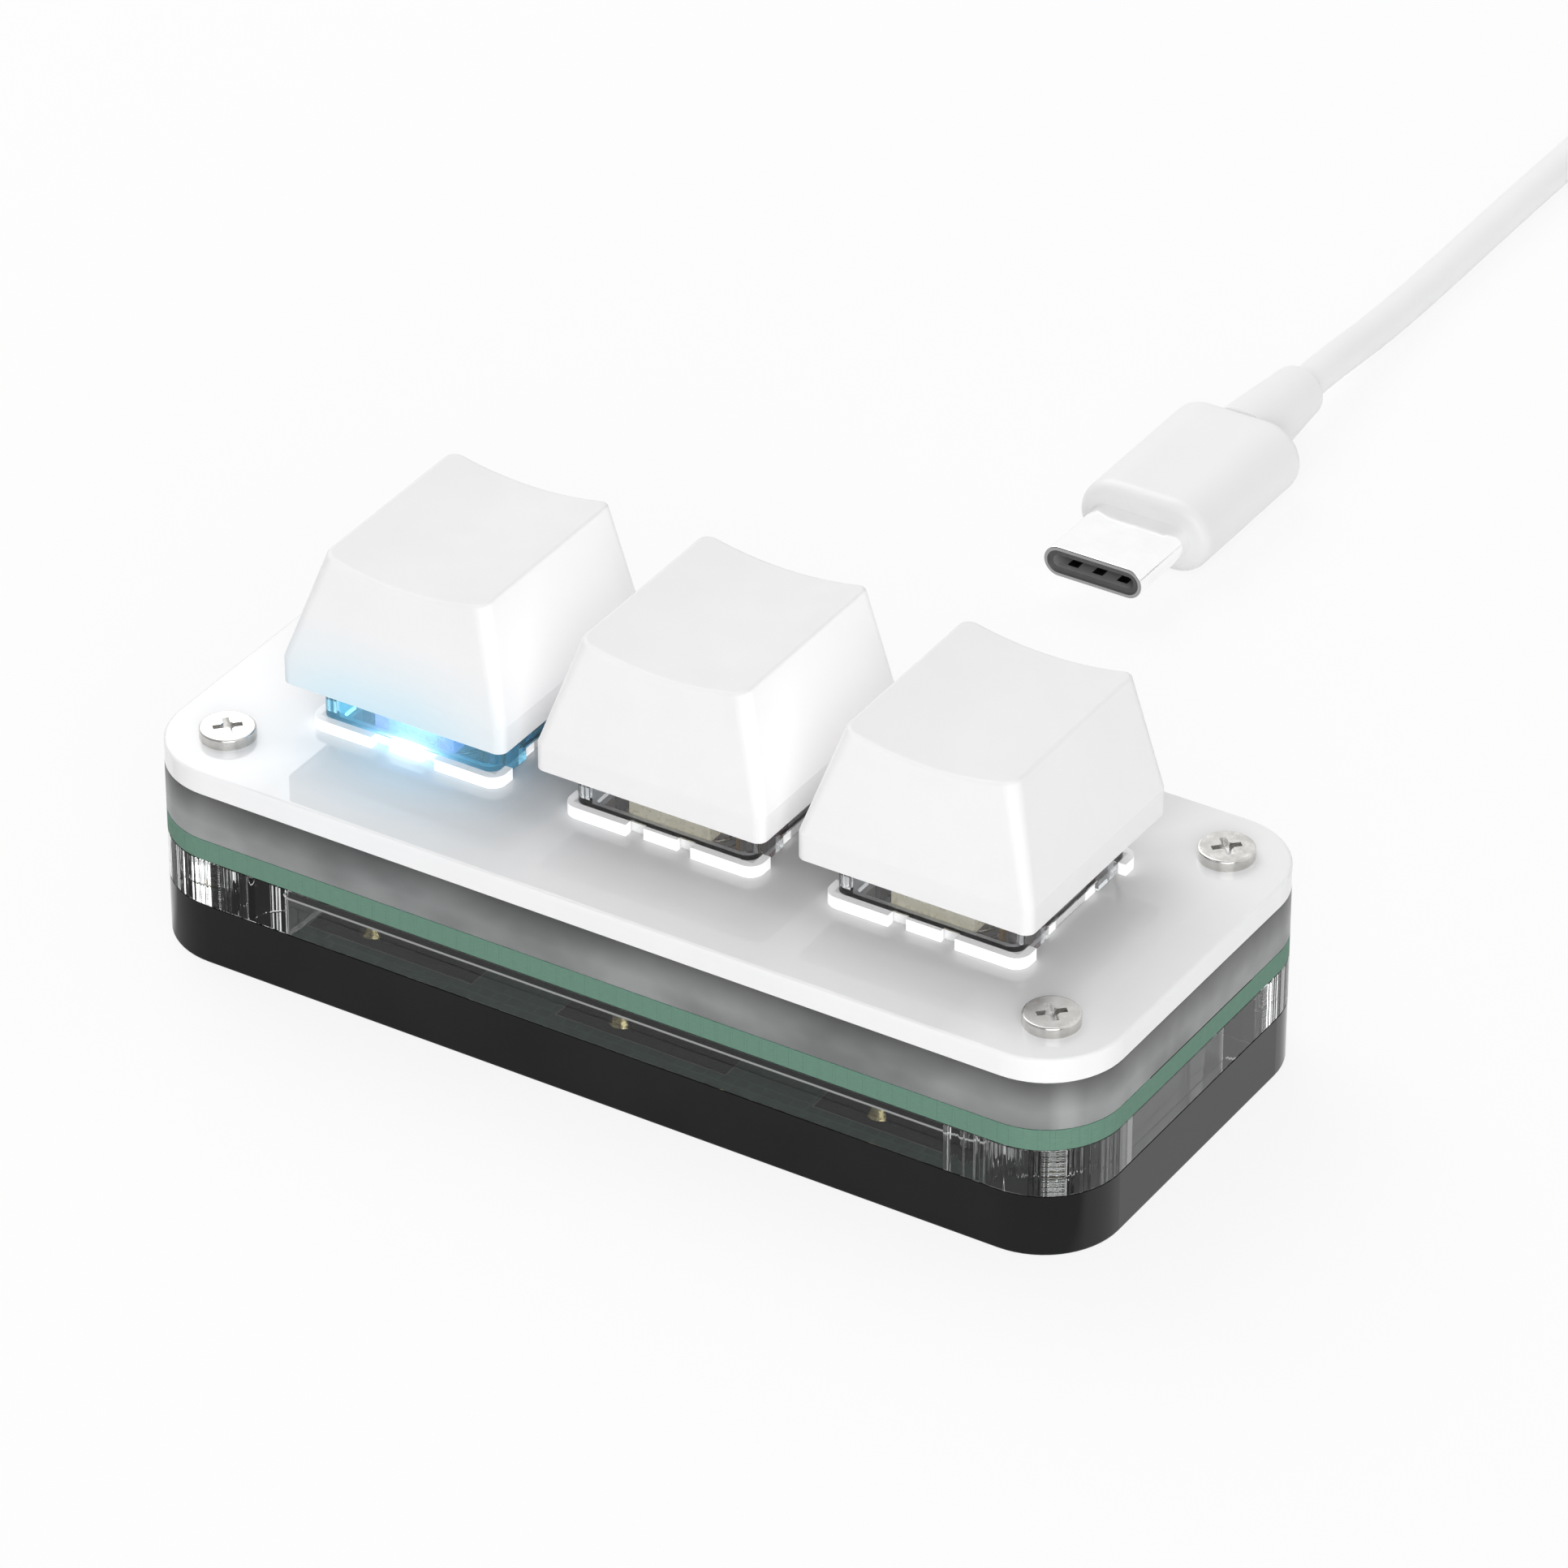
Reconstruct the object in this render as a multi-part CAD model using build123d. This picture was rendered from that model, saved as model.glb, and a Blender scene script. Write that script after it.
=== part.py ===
from build123d import *
import math
import os

# Three-key macro pad: a stack of acrylic sheets around a circuit board, three
# mechanical key switches with caps, four screws, and its loose USB cable.
# Millimetres. +Z is up, +X runs along the key row and +Y points to the socket edge.
# The origin is the centre of the underside of the base.

os.makedirs("parts", exist_ok=True)

# --- case stack ---
case_width = 33.0
case_corner_radius = 5.9
base_thickness = 4.8
board_thickness = 1.6
plate_thickness = 1.8
sheet_edge_radius = 0.25
key_end_margin = 17.0
window_end_clearance = 1.5
lower_window_reach = 0.2
window_side_clearance = 2.45
window_corner_radius = 0.6

# --- case screws and their inserts ---
screw_inset = 4.86
screw_diameter = 2.0
screw_length = 13.0
screw_head_diameter = 4.0
screw_head_height = 0.8
screw_head_edge = 0.16
screw_hole_clearance = 0.1
drive_span = 2.1
drive_blade = 0.5
drive_depth = 0.45
insert_diameter = 3.2
insert_length = 3.6
insert_groove_width = 0.7
insert_groove_depth = 0.24
thread_clearance = 0.03

# --- key row ---
key_count = 3
key_gap = 2.6
key_row_offset = -0.2
key_travel = 3.5

# --- switch, lower housing ---
switch_body = 13.9
plate_cutout_clearance = 0.06
switch_depth_below_plate = 5.0
housing_board_gap = 0.6
switch_flange_reach = 0.85
switch_flange_thickness = 0.9
switch_flange_radius = 1.1
housing_corner_radius = 0.6
housing_wall = 1.0
housing_floor = 1.2
flange_front_notch_start = 1.35
flange_front_notch_end = 2.6
flange_front_tab_inset = 0.3
flange_side_notch_end = 5.9
skirt_leg_start = 3.3
skirt_leg_end = 5.8
skirt_leg_clearance = 0.05
snap_length = 3.2
snap_reach = 0.3
snap_height = 1.0
snap_gap = 0.05
peg_diameter = 4.0
peg_reach = 1.1
peg_hole_clearance = 0.08
spring_guide_clearance = 0.22
spring_guide_height = 2.6
pole_diameter = 2.0
pole_clearance = 0.1

# --- switch, upper housing ---
upper_housing_overhang = 0.25
upper_housing_top_length = 10.8
upper_housing_top_depth = 9.8
upper_housing_height = 5.7
upper_housing_skirt = 1.6
upper_housing_wall = 0.9
upper_housing_radius = 0.9
stem_opening_length = 7.2
stem_opening_depth = 6.0
clip_width = 1.4
clip_thickness = 0.7
clip_drop = 2.9
clip_position = 2.9
clip_hook_reach = 0.5
clip_clearance = 0.1

# --- switch, stem and spring ---
stem_block_clearance_x = 0.2
stem_block_clearance_y = 0.3
stem_block_height = 2.2
slider_wall = 0.5
stem_bottoming_gap = 0.4
rail_side_clearance = 0.1
rail_width = 2.4
rail_top_clearance = 0.2
pole_bottoming_gap = 0.6
cross_span = 4.0
cross_thickness = 1.2
cross_height = 3.6
spring_outer_diameter = 4.4
spring_wire = 0.28
spring_pocket_clearance = 0.2
spring_pocket_depth = 4.9

# --- switch contacts and their solder joints ---
contact_width = 1.0
contact_thickness = 0.3
contact_clearance = 0.05
contact_height = 4.2
first_pin_x = -2.54
first_pin_y = -5.08
second_pin_x = 3.81
second_pin_y = -2.54
pin_stub = 0.2
pin_hole_diameter = 1.5
solder_height = 0.7
solder_base_diameter = 2.1
solder_tip_diameter = 1.3

# --- key light: a lamp chip under the board that shines up through it ---
lamp_offset_y = -5.2
lamp_length = 2.4
lamp_depth = 1.6
lamp_body_height = 0.8
lamp_lens_length = 1.6
lamp_lens_depth = 1.1
lamp_lens_recess = 0.4
lamp_hole_clearance = 0.1

# --- light guide that stands over the lamp, inside the switch ---
guide_leg_length = 2.2
guide_leg_depth = 1.4
guide_head_length = 6.5
guide_head_depth = 1.3
guide_contact_gap = 0.3
guide_top_gap = 0.1

# --- keycap ---
cap_flange_clearance = 0.3
cap_bottoming_gap = 0.5
cap_skirt_height = 2.0
cap_corner_radius = 0.75
cap_wall = 1.0
cap_roof = 1.6
cap_top_length = 13.2
cap_top_front = 7.2
cap_top_back = 8.85
cap_post_cover = 1.57
cap_top_tilt = 0.55
cap_top_radius = 1.0
cap_inner_radius = 0.2
cap_dish_depth = 0.85
cap_edge_radius = 0.3
cap_post_diameter = 5.4
cap_post_gap = 0.1
cap_slot_clearance = 0.03

# --- USB socket on the board's underside ---
socket_width = 8.94
socket_height = 3.16
socket_depth = 7.35
socket_wall = 0.3
socket_recess = 0.2
socket_clearance = 0.4
socket_floor_gap = 0.64
tongue_width = 6.7
tongue_thickness = 0.7
tongue_gap = 1.0
socket_block_depth = 1.6

# --- chips on the board's underside ---
controller_size = 5.0
controller_height = 0.9
controller_y = 1.6
controller_dot_diameter = 0.6
controller_dot_depth = 0.1
controller_dot_inset = 0.75
regulator_length = 2.9
regulator_depth = 1.6
regulator_height = 1.1
regulator_y = 4.6
chip_length = 1.6
chip_depth = 0.8
chip_height = 0.45
chip_spacing = 1.8
resistor_count = 2
resistor_gap = 0.95
capacitor_count = 4
capacitor_gap = 1.5

# --- cable and its plugs ---
cable_diameter = 2.8
plug_gap = 40.0
plug_x = -3.4
usb_c_shell_width = 8.34
usb_c_shell_height = 2.5
usb_c_shell_length = 7.2
usb_c_shell_wall = 0.3
usb_c_mouth_edge = 0.1
usb_c_insert_wall = 0.45
usb_c_insert_recess = 0.15
usb_c_slot_depth = 5.0
usb_c_notch_count = 3
usb_c_notch_spacing = 2.1
usb_c_notch_width = 0.9
usb_c_notch_length = 1.1
usb_c_notch_start = 0.7
usb_c_notch_depth = 0.3
usb_c_body_width = 11.1
usb_c_body_height = 6.0
usb_c_body_length = 15.0
usb_c_body_edge = 1.0
relief_length = 9.3
relief_base_diameter = 5.8
relief_tip_diameter = 4.3
relief_edge = 0.5
usb_a_shell_width = 12.0
usb_a_shell_height = 4.5
usb_a_shell_length = 14.0
usb_a_shell_wall = 0.3
usb_a_tongue_thickness = 1.9
usb_a_window = 2.2
usb_a_window_offset = 2.9
usb_a_body_width = 15.6
usb_a_body_height = 8.4
usb_a_body_length = 19.0
usb_a_body_edge = 1.6
tail_length = 14.0
coil_turns_per_layer = 4
coil_layers = 2
coil_mid_radius = 16.0
coil_centre_y = 150.0
coil_entry_shift = -0.75
coil_seat_offset = 4.0
coil_seat_clearance = 0.1
first_run = 3.7
bend_run = 12.0
bend_shift = -0.5
middle_run = 22.5
middle_shift = -0.85
arc_share = 0.45

# --- levels, spans and places that follow from the sizes above ---
switch_flange = switch_body + 2 * switch_flange_reach
upper_housing_base = switch_body + 2 * upper_housing_overhang
cap_width = switch_flange + 2 * (cap_flange_clearance + cap_wall)
key_pitch = cap_width + key_gap
key_centres = [key_row_offset + key_pitch * (i - (key_count - 1) / 2) for i in range(key_count)]
row_half_span = key_pitch * (key_count - 1) / 2
case_length = 2 * (row_half_span + key_end_margin)
window_half_width = switch_body / 2 + window_side_clearance
upper_window_half_length = row_half_span + abs(key_row_offset) + switch_body / 2 + window_end_clearance
lower_window_half_length = row_half_span + switch_body / 2 + lower_window_reach

base_top = base_thickness
board_bottom = base_top + socket_height + socket_floor_gap
board_top = board_bottom + board_thickness
plate_top = board_top + housing_board_gap + switch_depth_below_plate
plate_bottom = plate_top - plate_thickness
flange_top = plate_top + switch_flange_thickness
housing_bottom = plate_top - switch_depth_below_plate
housing_floor_top = housing_bottom + housing_floor
skirt_top = flange_top + upper_housing_skirt
housing_top = flange_top + upper_housing_height
peg_bottom = board_bottom - peg_reach
cross_top = housing_top + cross_height
cap_bottom = plate_top + key_travel + cap_bottoming_gap
cap_slot_top = cross_top + cap_slot_clearance
cap_top = cap_slot_top + cap_post_cover + cap_roof + cap_dish_depth

skirt_leg_width = skirt_leg_end - skirt_leg_start
skirt_leg_middle = (skirt_leg_end + skirt_leg_start) / 2

screw_places = [
    (sx * (case_length / 2 - screw_inset), sy * (case_width / 2 - screw_inset))
    for sx in (-1, 1) for sy in (-1, 1)
]
screw_hole = screw_diameter + 2 * screw_hole_clearance
pin_places = [(first_pin_x, first_pin_y), (second_pin_x, second_pin_y)]


def prism(width, depth, bottom, top, radius=0.0, x=0.0, y=0.0):
    """Upright block with rounded corners between two levels."""
    outline = RectangleRounded(width, depth, radius) if radius > 0 else Rectangle(width, depth)
    return Pos(x, y, bottom) * extrude(outline, top - bottom)


def disc(diameter, bottom, top, x=0.0, y=0.0):
    """Upright cylinder between two levels."""
    return Pos(x, y, (bottom + top) / 2) * Cylinder(diameter / 2, top - bottom)


def sheet(bottom, top):
    """One layer of the case, with its four screw holes."""
    layer = prism(case_length, case_width, bottom, top, case_corner_radius)
    for x, y in screw_places:
        layer -= disc(screw_hole, bottom, top, x, y)
    return layer


def export(shape, node):
    export_step(shape, f"parts/{node}.step")


# --- case layers ---
def base_plate():
    layer = prism(case_length, case_width, 0, base_top, case_corner_radius)
    rim = layer.faces().sort_by(Axis.Z)[0].edges()
    layer = fillet(rim, sheet_edge_radius)
    for x, y in screw_places:
        layer -= disc(insert_diameter, base_top - insert_length, base_top, x, y)
        layer -= disc(screw_hole, plate_top - screw_length - screw_hole_clearance, base_top, x, y)
    return layer


def spacer(bottom, top, window_half_length):
    """A ring layer with one rectangular window."""
    window = prism(2 * window_half_length, 2 * window_half_width, bottom, top, window_corner_radius)
    return sheet(bottom, top) - window


def lower_spacer():
    notch_width = socket_width + 2 * socket_clearance
    notch = prism(notch_width, case_width / 2, base_top, board_bottom, 0, 0, case_width / 4)
    return spacer(base_top, board_bottom, lower_window_half_length) - notch


def circuit_board():
    board = sheet(board_bottom, board_top)
    for x in key_centres:
        board -= disc(peg_diameter + 2 * peg_hole_clearance, board_bottom, board_top, x)
        for px, py in pin_places:
            board -= disc(pin_hole_diameter, board_bottom, board_top, x + px, py)
        board -= prism(
            lamp_lens_length + 2 * lamp_hole_clearance, lamp_lens_depth + 2 * lamp_hole_clearance,
            board_bottom, board_top, 0, x, lamp_offset_y
        )
    return board


def top_plate():
    plate = prism(case_length, case_width, plate_bottom, plate_top, case_corner_radius)
    rim = plate.faces().sort_by(Axis.Z)[-1].edges()
    plate = fillet(rim, sheet_edge_radius)
    for x, y in screw_places:
        plate -= disc(screw_hole, plate_bottom, plate_top, x, y)
    cutout = switch_body + 2 * plate_cutout_clearance
    for x in key_centres:
        plate -= prism(cutout, cutout, plate_bottom, plate_top, housing_corner_radius, x)
    return plate


# --- screws and inserts ---
def case_screw(x, y):
    head_top = plate_top + screw_head_height
    head = disc(screw_head_diameter, plate_top, head_top, x, y)
    head = fillet(head.edges().group_by(Axis.Z)[-1], screw_head_edge)
    for turn in (45, 135):
        blade = Box(drive_span, drive_blade, drive_depth, align=(Align.CENTER, Align.CENTER, Align.MAX))
        head -= Pos(x, y, head_top) * Rot(0, 0, turn) * blade
    head -= Pos(x, y, head_top - drive_depth / 2) * Cone(drive_blade / 2, drive_blade, drive_depth)
    return head + disc(screw_diameter, plate_top - screw_length, plate_top, x, y)


def threaded_insert(x, y):
    ring = disc(insert_diameter, base_top - insert_length, base_top, x, y)
    bore = disc(screw_diameter + 2 * thread_clearance, base_top - insert_length, base_top, x, y)
    groove_bottom = base_top - (insert_length + insert_groove_width) / 2
    groove_top = groove_bottom + insert_groove_width
    groove = disc(insert_diameter, groove_bottom, groove_top, x, y)
    groove -= disc(insert_diameter - 2 * insert_groove_depth, groove_bottom, groove_top, x, y)
    return ring - bore - groove


# --- switch ---
def switch_lower_housing():
    cavity = switch_body - 2 * housing_wall
    body = prism(switch_body, switch_body, housing_bottom, plate_top, housing_corner_radius)
    body += prism(switch_flange, switch_flange, plate_top, flange_top, switch_flange_radius)
    body -= prism(cavity, cavity, housing_floor_top, flange_top, housing_corner_radius / 2)
    rim = (switch_flange - switch_body) / 2
    rim_middle = (switch_flange + switch_body) / 4
    notch_width = flange_front_notch_end - flange_front_notch_start
    notch_middle = (flange_front_notch_end + flange_front_notch_start) / 2
    for side in (-1, 1):
        for x in (-notch_middle, notch_middle):
            body -= prism(notch_width, rim, plate_top, flange_top, 0, x, side * rim_middle)
        tab_cut_y = side * (switch_flange - flange_front_tab_inset) / 2
        body -= prism(2 * notch_middle, flange_front_tab_inset, plate_top, flange_top, 0, 0, tab_cut_y)
        body -= prism(rim, 2 * flange_side_notch_end, plate_top, flange_top, 0, side * rim_middle)
        leg_room = skirt_leg_width + 2 * skirt_leg_clearance
        wall_x = side * (switch_body - housing_wall) / 2
        for y in (-skirt_leg_middle, skirt_leg_middle):
            body -= prism(housing_wall, leg_room, plate_top, flange_top, 0, wall_x, y)
    for side in (-1, 1):
        snap = extrude(
            Plane.YZ * Polygon(
                (side * switch_body / 2, plate_bottom - snap_gap),
                (side * (switch_body / 2 + snap_reach), plate_bottom - snap_gap),
                (side * switch_body / 2, plate_bottom - snap_gap - snap_height),
                align=None,
            ),
            snap_length / 2, both=True
        )
        body += snap
    guide_diameter = spring_outer_diameter - 2 * (spring_wire + spring_guide_clearance)
    guide_top = housing_floor_top + spring_guide_height
    body += disc(peg_diameter, peg_bottom, housing_bottom)
    body += disc(guide_diameter, housing_floor_top, guide_top)
    body -= disc(pole_diameter + 2 * pole_clearance, peg_bottom + housing_floor, guide_top)
    for px, py in pin_places:
        slot = 2 * contact_clearance
        body -= prism(
            contact_width + slot, contact_thickness + slot, housing_bottom, housing_floor_top, 0, px, py
        )
    body -= prism(
        lamp_lens_length, lamp_lens_depth, housing_bottom, housing_floor_top, 0, 0, lamp_offset_y
    )
    for side in (-1, 1):
        for y in (-clip_position, clip_position):
            window_x = side * (switch_body - housing_wall) / 2
            window_bottom = flange_top - clip_drop - clip_clearance
            window_top = window_bottom + clip_thickness + 2 * clip_clearance
            body -= prism(
                housing_wall, clip_width + 2 * clip_clearance, window_bottom, window_top, 0, window_x, y
            )
    return body


def frustum(base, length, depth, bottom, top, radius):
    """Four-sided taper from a square base to a smaller rectangle."""
    lower = Pos(0, 0, bottom) * RectangleRounded(base, base, radius)
    upper = Pos(0, 0, top) * RectangleRounded(length, depth, radius)
    return loft([lower, upper])


def switch_upper_housing():
    shell = prism(upper_housing_base, upper_housing_base, flange_top, skirt_top, upper_housing_radius)
    shell += frustum(
        upper_housing_base, upper_housing_top_length, upper_housing_top_depth,
        skirt_top, housing_top, upper_housing_radius
    )
    wall = 2 * upper_housing_wall
    inner_radius = upper_housing_radius / 2
    ceiling = housing_top - upper_housing_wall
    hollow = prism(
        upper_housing_base - wall, upper_housing_base - wall, flange_top, skirt_top, inner_radius
    )
    hollow += frustum(
        upper_housing_base - wall, upper_housing_top_length - wall, upper_housing_top_depth - wall,
        skirt_top, ceiling, inner_radius
    )
    shell -= hollow
    shell -= prism(
        stem_opening_length, stem_opening_depth, ceiling, housing_top, housing_corner_radius / 2
    )
    arm_outer = switch_body / 2 - housing_wall - clip_clearance
    arm_bottom = flange_top - clip_drop
    bridge_outer = upper_housing_base / 2 - upper_housing_wall / 2
    leg_bottom = plate_top + skirt_leg_clearance
    leg_x = (upper_housing_base - upper_housing_wall) / 2
    for side in (-1, 1):
        for y in (-skirt_leg_middle, skirt_leg_middle):
            shell += prism(upper_housing_wall, skirt_leg_width, leg_bottom, flange_top, 0, side * leg_x, y)
        for y in (-clip_position, clip_position):
            arm_x = side * (arm_outer - clip_thickness / 2)
            shell += prism(clip_thickness, clip_width, arm_bottom, skirt_top, 0, arm_x, y)
            bridge_inner = arm_outer - clip_thickness
            bridge_x = side * (bridge_outer + bridge_inner) / 2
            shell += prism(
                bridge_outer - bridge_inner, clip_width, flange_top, skirt_top, 0, bridge_x, y
            )
            hook_x = side * (arm_outer + clip_hook_reach / 2)
            shell += prism(
                clip_hook_reach, clip_width, arm_bottom, arm_bottom + clip_thickness, 0, hook_x, y
            )
    return shell


slider_top = housing_top - stem_block_height
slider_bottom = housing_floor_top + key_travel + stem_bottoming_gap
pole_bottom = peg_bottom + housing_floor + key_travel + pole_bottoming_gap


def switch_stem():
    block_length = stem_opening_length - 2 * stem_block_clearance_x
    block_depth = stem_opening_depth - 2 * stem_block_clearance_y
    stem = prism(block_length, block_depth, slider_top, housing_top, housing_corner_radius / 2)
    pocket = spring_outer_diameter + 2 * spring_pocket_clearance
    pocket_top = slider_bottom + spring_pocket_depth
    slider_width = pocket + 2 * slider_wall
    stem += prism(slider_width, slider_width, slider_bottom, slider_top, housing_corner_radius / 2)
    rail_span = upper_housing_top_length - 2 * (upper_housing_wall + rail_side_clearance)
    rail_top = housing_top - upper_housing_wall - rail_top_clearance
    stem += prism(rail_span, rail_width, slider_bottom, rail_top)
    stem -= disc(pocket, slider_bottom, pocket_top)
    stem += disc(pole_diameter, pole_bottom, pocket_top)
    stem += prism(cross_span, cross_thickness, housing_top, cross_top)
    stem += prism(cross_thickness, cross_span, housing_top, cross_top)
    return stem


def switch_spring():
    spring_top = slider_bottom + spring_pocket_depth
    outer = disc(spring_outer_diameter, housing_floor_top, spring_top)
    return outer - disc(spring_outer_diameter - 2 * spring_wire, housing_floor_top, spring_top)


def switch_contacts():
    return [
        prism(
            contact_width, contact_thickness,
            board_bottom - solder_height - pin_stub, housing_floor_top + contact_height, 0, px, py
        )
        for px, py in pin_places
    ]


def solder_joint(px, py):
    tip = board_bottom - solder_height
    cone = Pos(px, py, (tip + board_bottom) / 2) * Cone(
        solder_tip_diameter / 2, solder_base_diameter / 2, solder_height
    )
    return cone - prism(contact_width, contact_thickness, tip, board_bottom, 0, px, py)


def key_lamp():
    body_bottom = board_bottom - lamp_body_height
    body = prism(lamp_length, lamp_depth, body_bottom, board_bottom, 0, 0, lamp_offset_y)
    lens_top = board_top - lamp_lens_recess
    return body + prism(lamp_lens_length, lamp_lens_depth, board_bottom, lens_top, 0, 0, lamp_offset_y)


def light_guide():
    """A leg over the lamp's opening that spreads into a bar behind the front wall."""
    head_bottom = housing_floor_top + contact_height + guide_contact_gap
    leg = prism(guide_leg_length, guide_leg_depth, housing_floor_top, head_bottom, 0, 0, lamp_offset_y)
    return leg + prism(
        guide_head_length, guide_head_depth, head_bottom, skirt_top - guide_top_gap, 0, 0, lamp_offset_y
    )


# --- keycap ---
def cap_form(inset, top_gap, corner, top_corner):
    """Outside of the cap, or its hollow when inset by the wall and the roof."""
    width = cap_width - 2 * inset
    skirt_top = cap_bottom + cap_skirt_height
    top_depth = cap_top_front + cap_top_back - 2 * inset
    top_middle = (cap_top_back - cap_top_front) / 2
    top_level = cap_top - top_gap
    lower = Pos(0, 0, skirt_top) * RectangleRounded(width, width, corner)
    upper = Pos(0, top_middle, top_level) * Rot(cap_top_tilt, 0, 0) * RectangleRounded(
        cap_top_length - 2 * inset, top_depth, top_corner
    )
    return prism(width, width, cap_bottom, skirt_top, corner) + loft([lower, upper])


def keycap():
    cap = cap_form(0, 0, cap_corner_radius, cap_top_radius)
    half_span = cap_top_length / 2
    dish_radius = (half_span ** 2 + cap_dish_depth ** 2) / (2 * cap_dish_depth)
    top_middle = (cap_top_back - cap_top_front) / 2
    dish_centre = cap_top - cap_dish_depth + dish_radius
    dish = Rot(90 + cap_top_tilt, 0, 0) * Cylinder(dish_radius, 2 * cap_width)
    cap -= Pos(0, top_middle, dish_centre) * dish
    crown = cap.faces().filter_by(GeomType.CYLINDER).sort_by(SortBy.AREA)[-1]
    cap = fillet(crown.edges(), cap_edge_radius)
    cap -= cap_form(cap_wall, cap_roof + cap_dish_depth, cap_inner_radius, cap_inner_radius)
    post_bottom = housing_top + cap_post_gap
    roof_bottom = cap_slot_top + cap_post_cover
    post = disc(cap_post_diameter, post_bottom, roof_bottom + cap_roof / 2)
    slot_span = cross_span + 2 * cap_slot_clearance
    slot_width = cross_thickness + 2 * cap_slot_clearance
    post -= prism(slot_span, slot_width, post_bottom, cap_slot_top)
    post -= prism(slot_width, slot_span, post_bottom, cap_slot_top)
    return cap + post


# --- USB socket ---
def stadium(width, height, front, back, x, z):
    """Flat-oval bar along Y."""
    return Pos(x, back, z) * Rot(90, 0, 0) * extrude(SlotOverall(width, height), back - front)


socket_z = board_bottom - socket_height / 2
socket_back = case_width / 2 - socket_recess
socket_front = socket_back - socket_depth


def usb_socket_shell():
    outer = stadium(socket_width, socket_height, socket_front, socket_back, 0, socket_z)
    wall = 2 * socket_wall
    return outer - stadium(
        socket_width - wall, socket_height - wall, socket_front, socket_back, 0, socket_z
    )


def usb_socket_tongue():
    wall = 2 * socket_wall
    block_back = socket_front + socket_block_depth
    block = stadium(socket_width - wall, socket_height - wall, socket_front, block_back, 0, socket_z)
    length = socket_depth - socket_block_depth - tongue_gap
    middle = block_back + length / 2
    return block + Pos(0, middle, socket_z) * Box(tongue_width, length, tongue_thickness)


# --- chips ---
controller_x = (key_centres[-1] + key_centres[-2]) / 2
regulator_x = (key_centres[0] + key_centres[1]) / 2
resistor_y = socket_front - resistor_gap - chip_length / 2
capacitor_y = controller_y - controller_size / 2 - capacitor_gap - chip_length / 2


def microcontroller():
    bottom = board_bottom - controller_height
    chip = prism(controller_size, controller_size, bottom, board_bottom, 0, controller_x, controller_y)
    dot = controller_size / 2 - controller_dot_inset
    return chip - disc(
        controller_dot_diameter, bottom, bottom + controller_dot_depth, controller_x - dot, controller_y + dot
    )


def voltage_regulator():
    return prism(
        regulator_length, regulator_depth, board_bottom - regulator_height, board_bottom, 0,
        regulator_x, regulator_y
    )


def chip_row(count, middle_x, y):
    bottom = board_bottom - chip_height
    first_x = middle_x - chip_spacing * (count - 1) / 2
    return [
        prism(chip_depth, chip_length, bottom, board_bottom, 0, first_x + i * chip_spacing, y)
        for i in range(count)
    ]


# --- cable, plugs and coil ---
plug_front = case_width / 2 + plug_gap
usb_c_body_front = plug_front + usb_c_shell_length
usb_c_body_back = usb_c_body_front + usb_c_body_length
cable_start = usb_c_body_back + relief_length
usb_c_z = usb_c_body_height / 2
cable_z = cable_diameter / 2
coil_width = coil_turns_per_layer * cable_diameter
coil_outer_turn = coil_mid_radius + (coil_width - cable_diameter) / 2
coil_entry_x = plug_x + coil_entry_shift
coil_centre_x = coil_entry_x + coil_outer_turn
tail_x = coil_centre_x + coil_outer_turn
usb_a_z = usb_a_body_height / 2
usb_a_relief_back = coil_centre_y - tail_length
usb_a_body_back = usb_a_relief_back - relief_length
usb_a_body_front = usb_a_body_back - usb_a_body_length
usb_a_front = usb_a_body_front - usb_a_shell_length


def usb_c_plug_shell():
    back = usb_c_body_front
    outer = stadium(usb_c_shell_width, usb_c_shell_height, plug_front, back, plug_x, usb_c_z)
    outer = fillet(outer.faces().sort_by(Axis.Y)[0].edges(), usb_c_mouth_edge)
    wall = 2 * usb_c_shell_wall
    return outer - stadium(
        usb_c_shell_width - wall, usb_c_shell_height - wall, plug_front, back, plug_x, usb_c_z
    )


def usb_c_plug_insert():
    front = plug_front + usb_c_insert_recess
    wall = 2 * usb_c_shell_wall
    inner = wall + 2 * usb_c_insert_wall
    liner = stadium(
        usb_c_shell_width - wall, usb_c_shell_height - wall, front, usb_c_body_front, plug_x, usb_c_z
    )
    slot_back = plug_front + usb_c_slot_depth
    liner -= stadium(
        usb_c_shell_width - inner, usb_c_shell_height - inner, front, slot_back, plug_x, usb_c_z
    )
    floor = usb_c_z - (usb_c_shell_height - inner) / 2
    notch_y = plug_front + usb_c_notch_start + usb_c_notch_length / 2
    first_x = plug_x - usb_c_notch_spacing * (usb_c_notch_count - 1) / 2
    for i in range(usb_c_notch_count):
        liner -= prism(
            usb_c_notch_width, usb_c_notch_length, floor - usb_c_notch_depth, usb_c_z, 0,
            first_x + i * usb_c_notch_spacing, notch_y
        )
    return liner


def usb_c_plug_body():
    body = stadium(
        usb_c_body_width, usb_c_body_height, usb_c_body_front, usb_c_body_back, plug_x, usb_c_z
    )
    ends = body.faces().sort_by(Axis.Y)
    return fillet(ends[0].edges() + ends[-1].edges(), usb_c_body_edge)


def strain_relief(x, base_y, tip_y, z):
    """Tapered collar along Y from a plug body to the bare cable."""
    length = abs(tip_y - base_y)
    cone = Cone(relief_base_diameter / 2, relief_tip_diameter / 2, length)
    cone = fillet(cone.edges().sort_by(Axis.Z)[-1], relief_edge)
    towards = -90 if tip_y > base_y else 90
    return Pos(x, (base_y + tip_y) / 2, z) * Rot(towards, 0, 0) * cone


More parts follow.
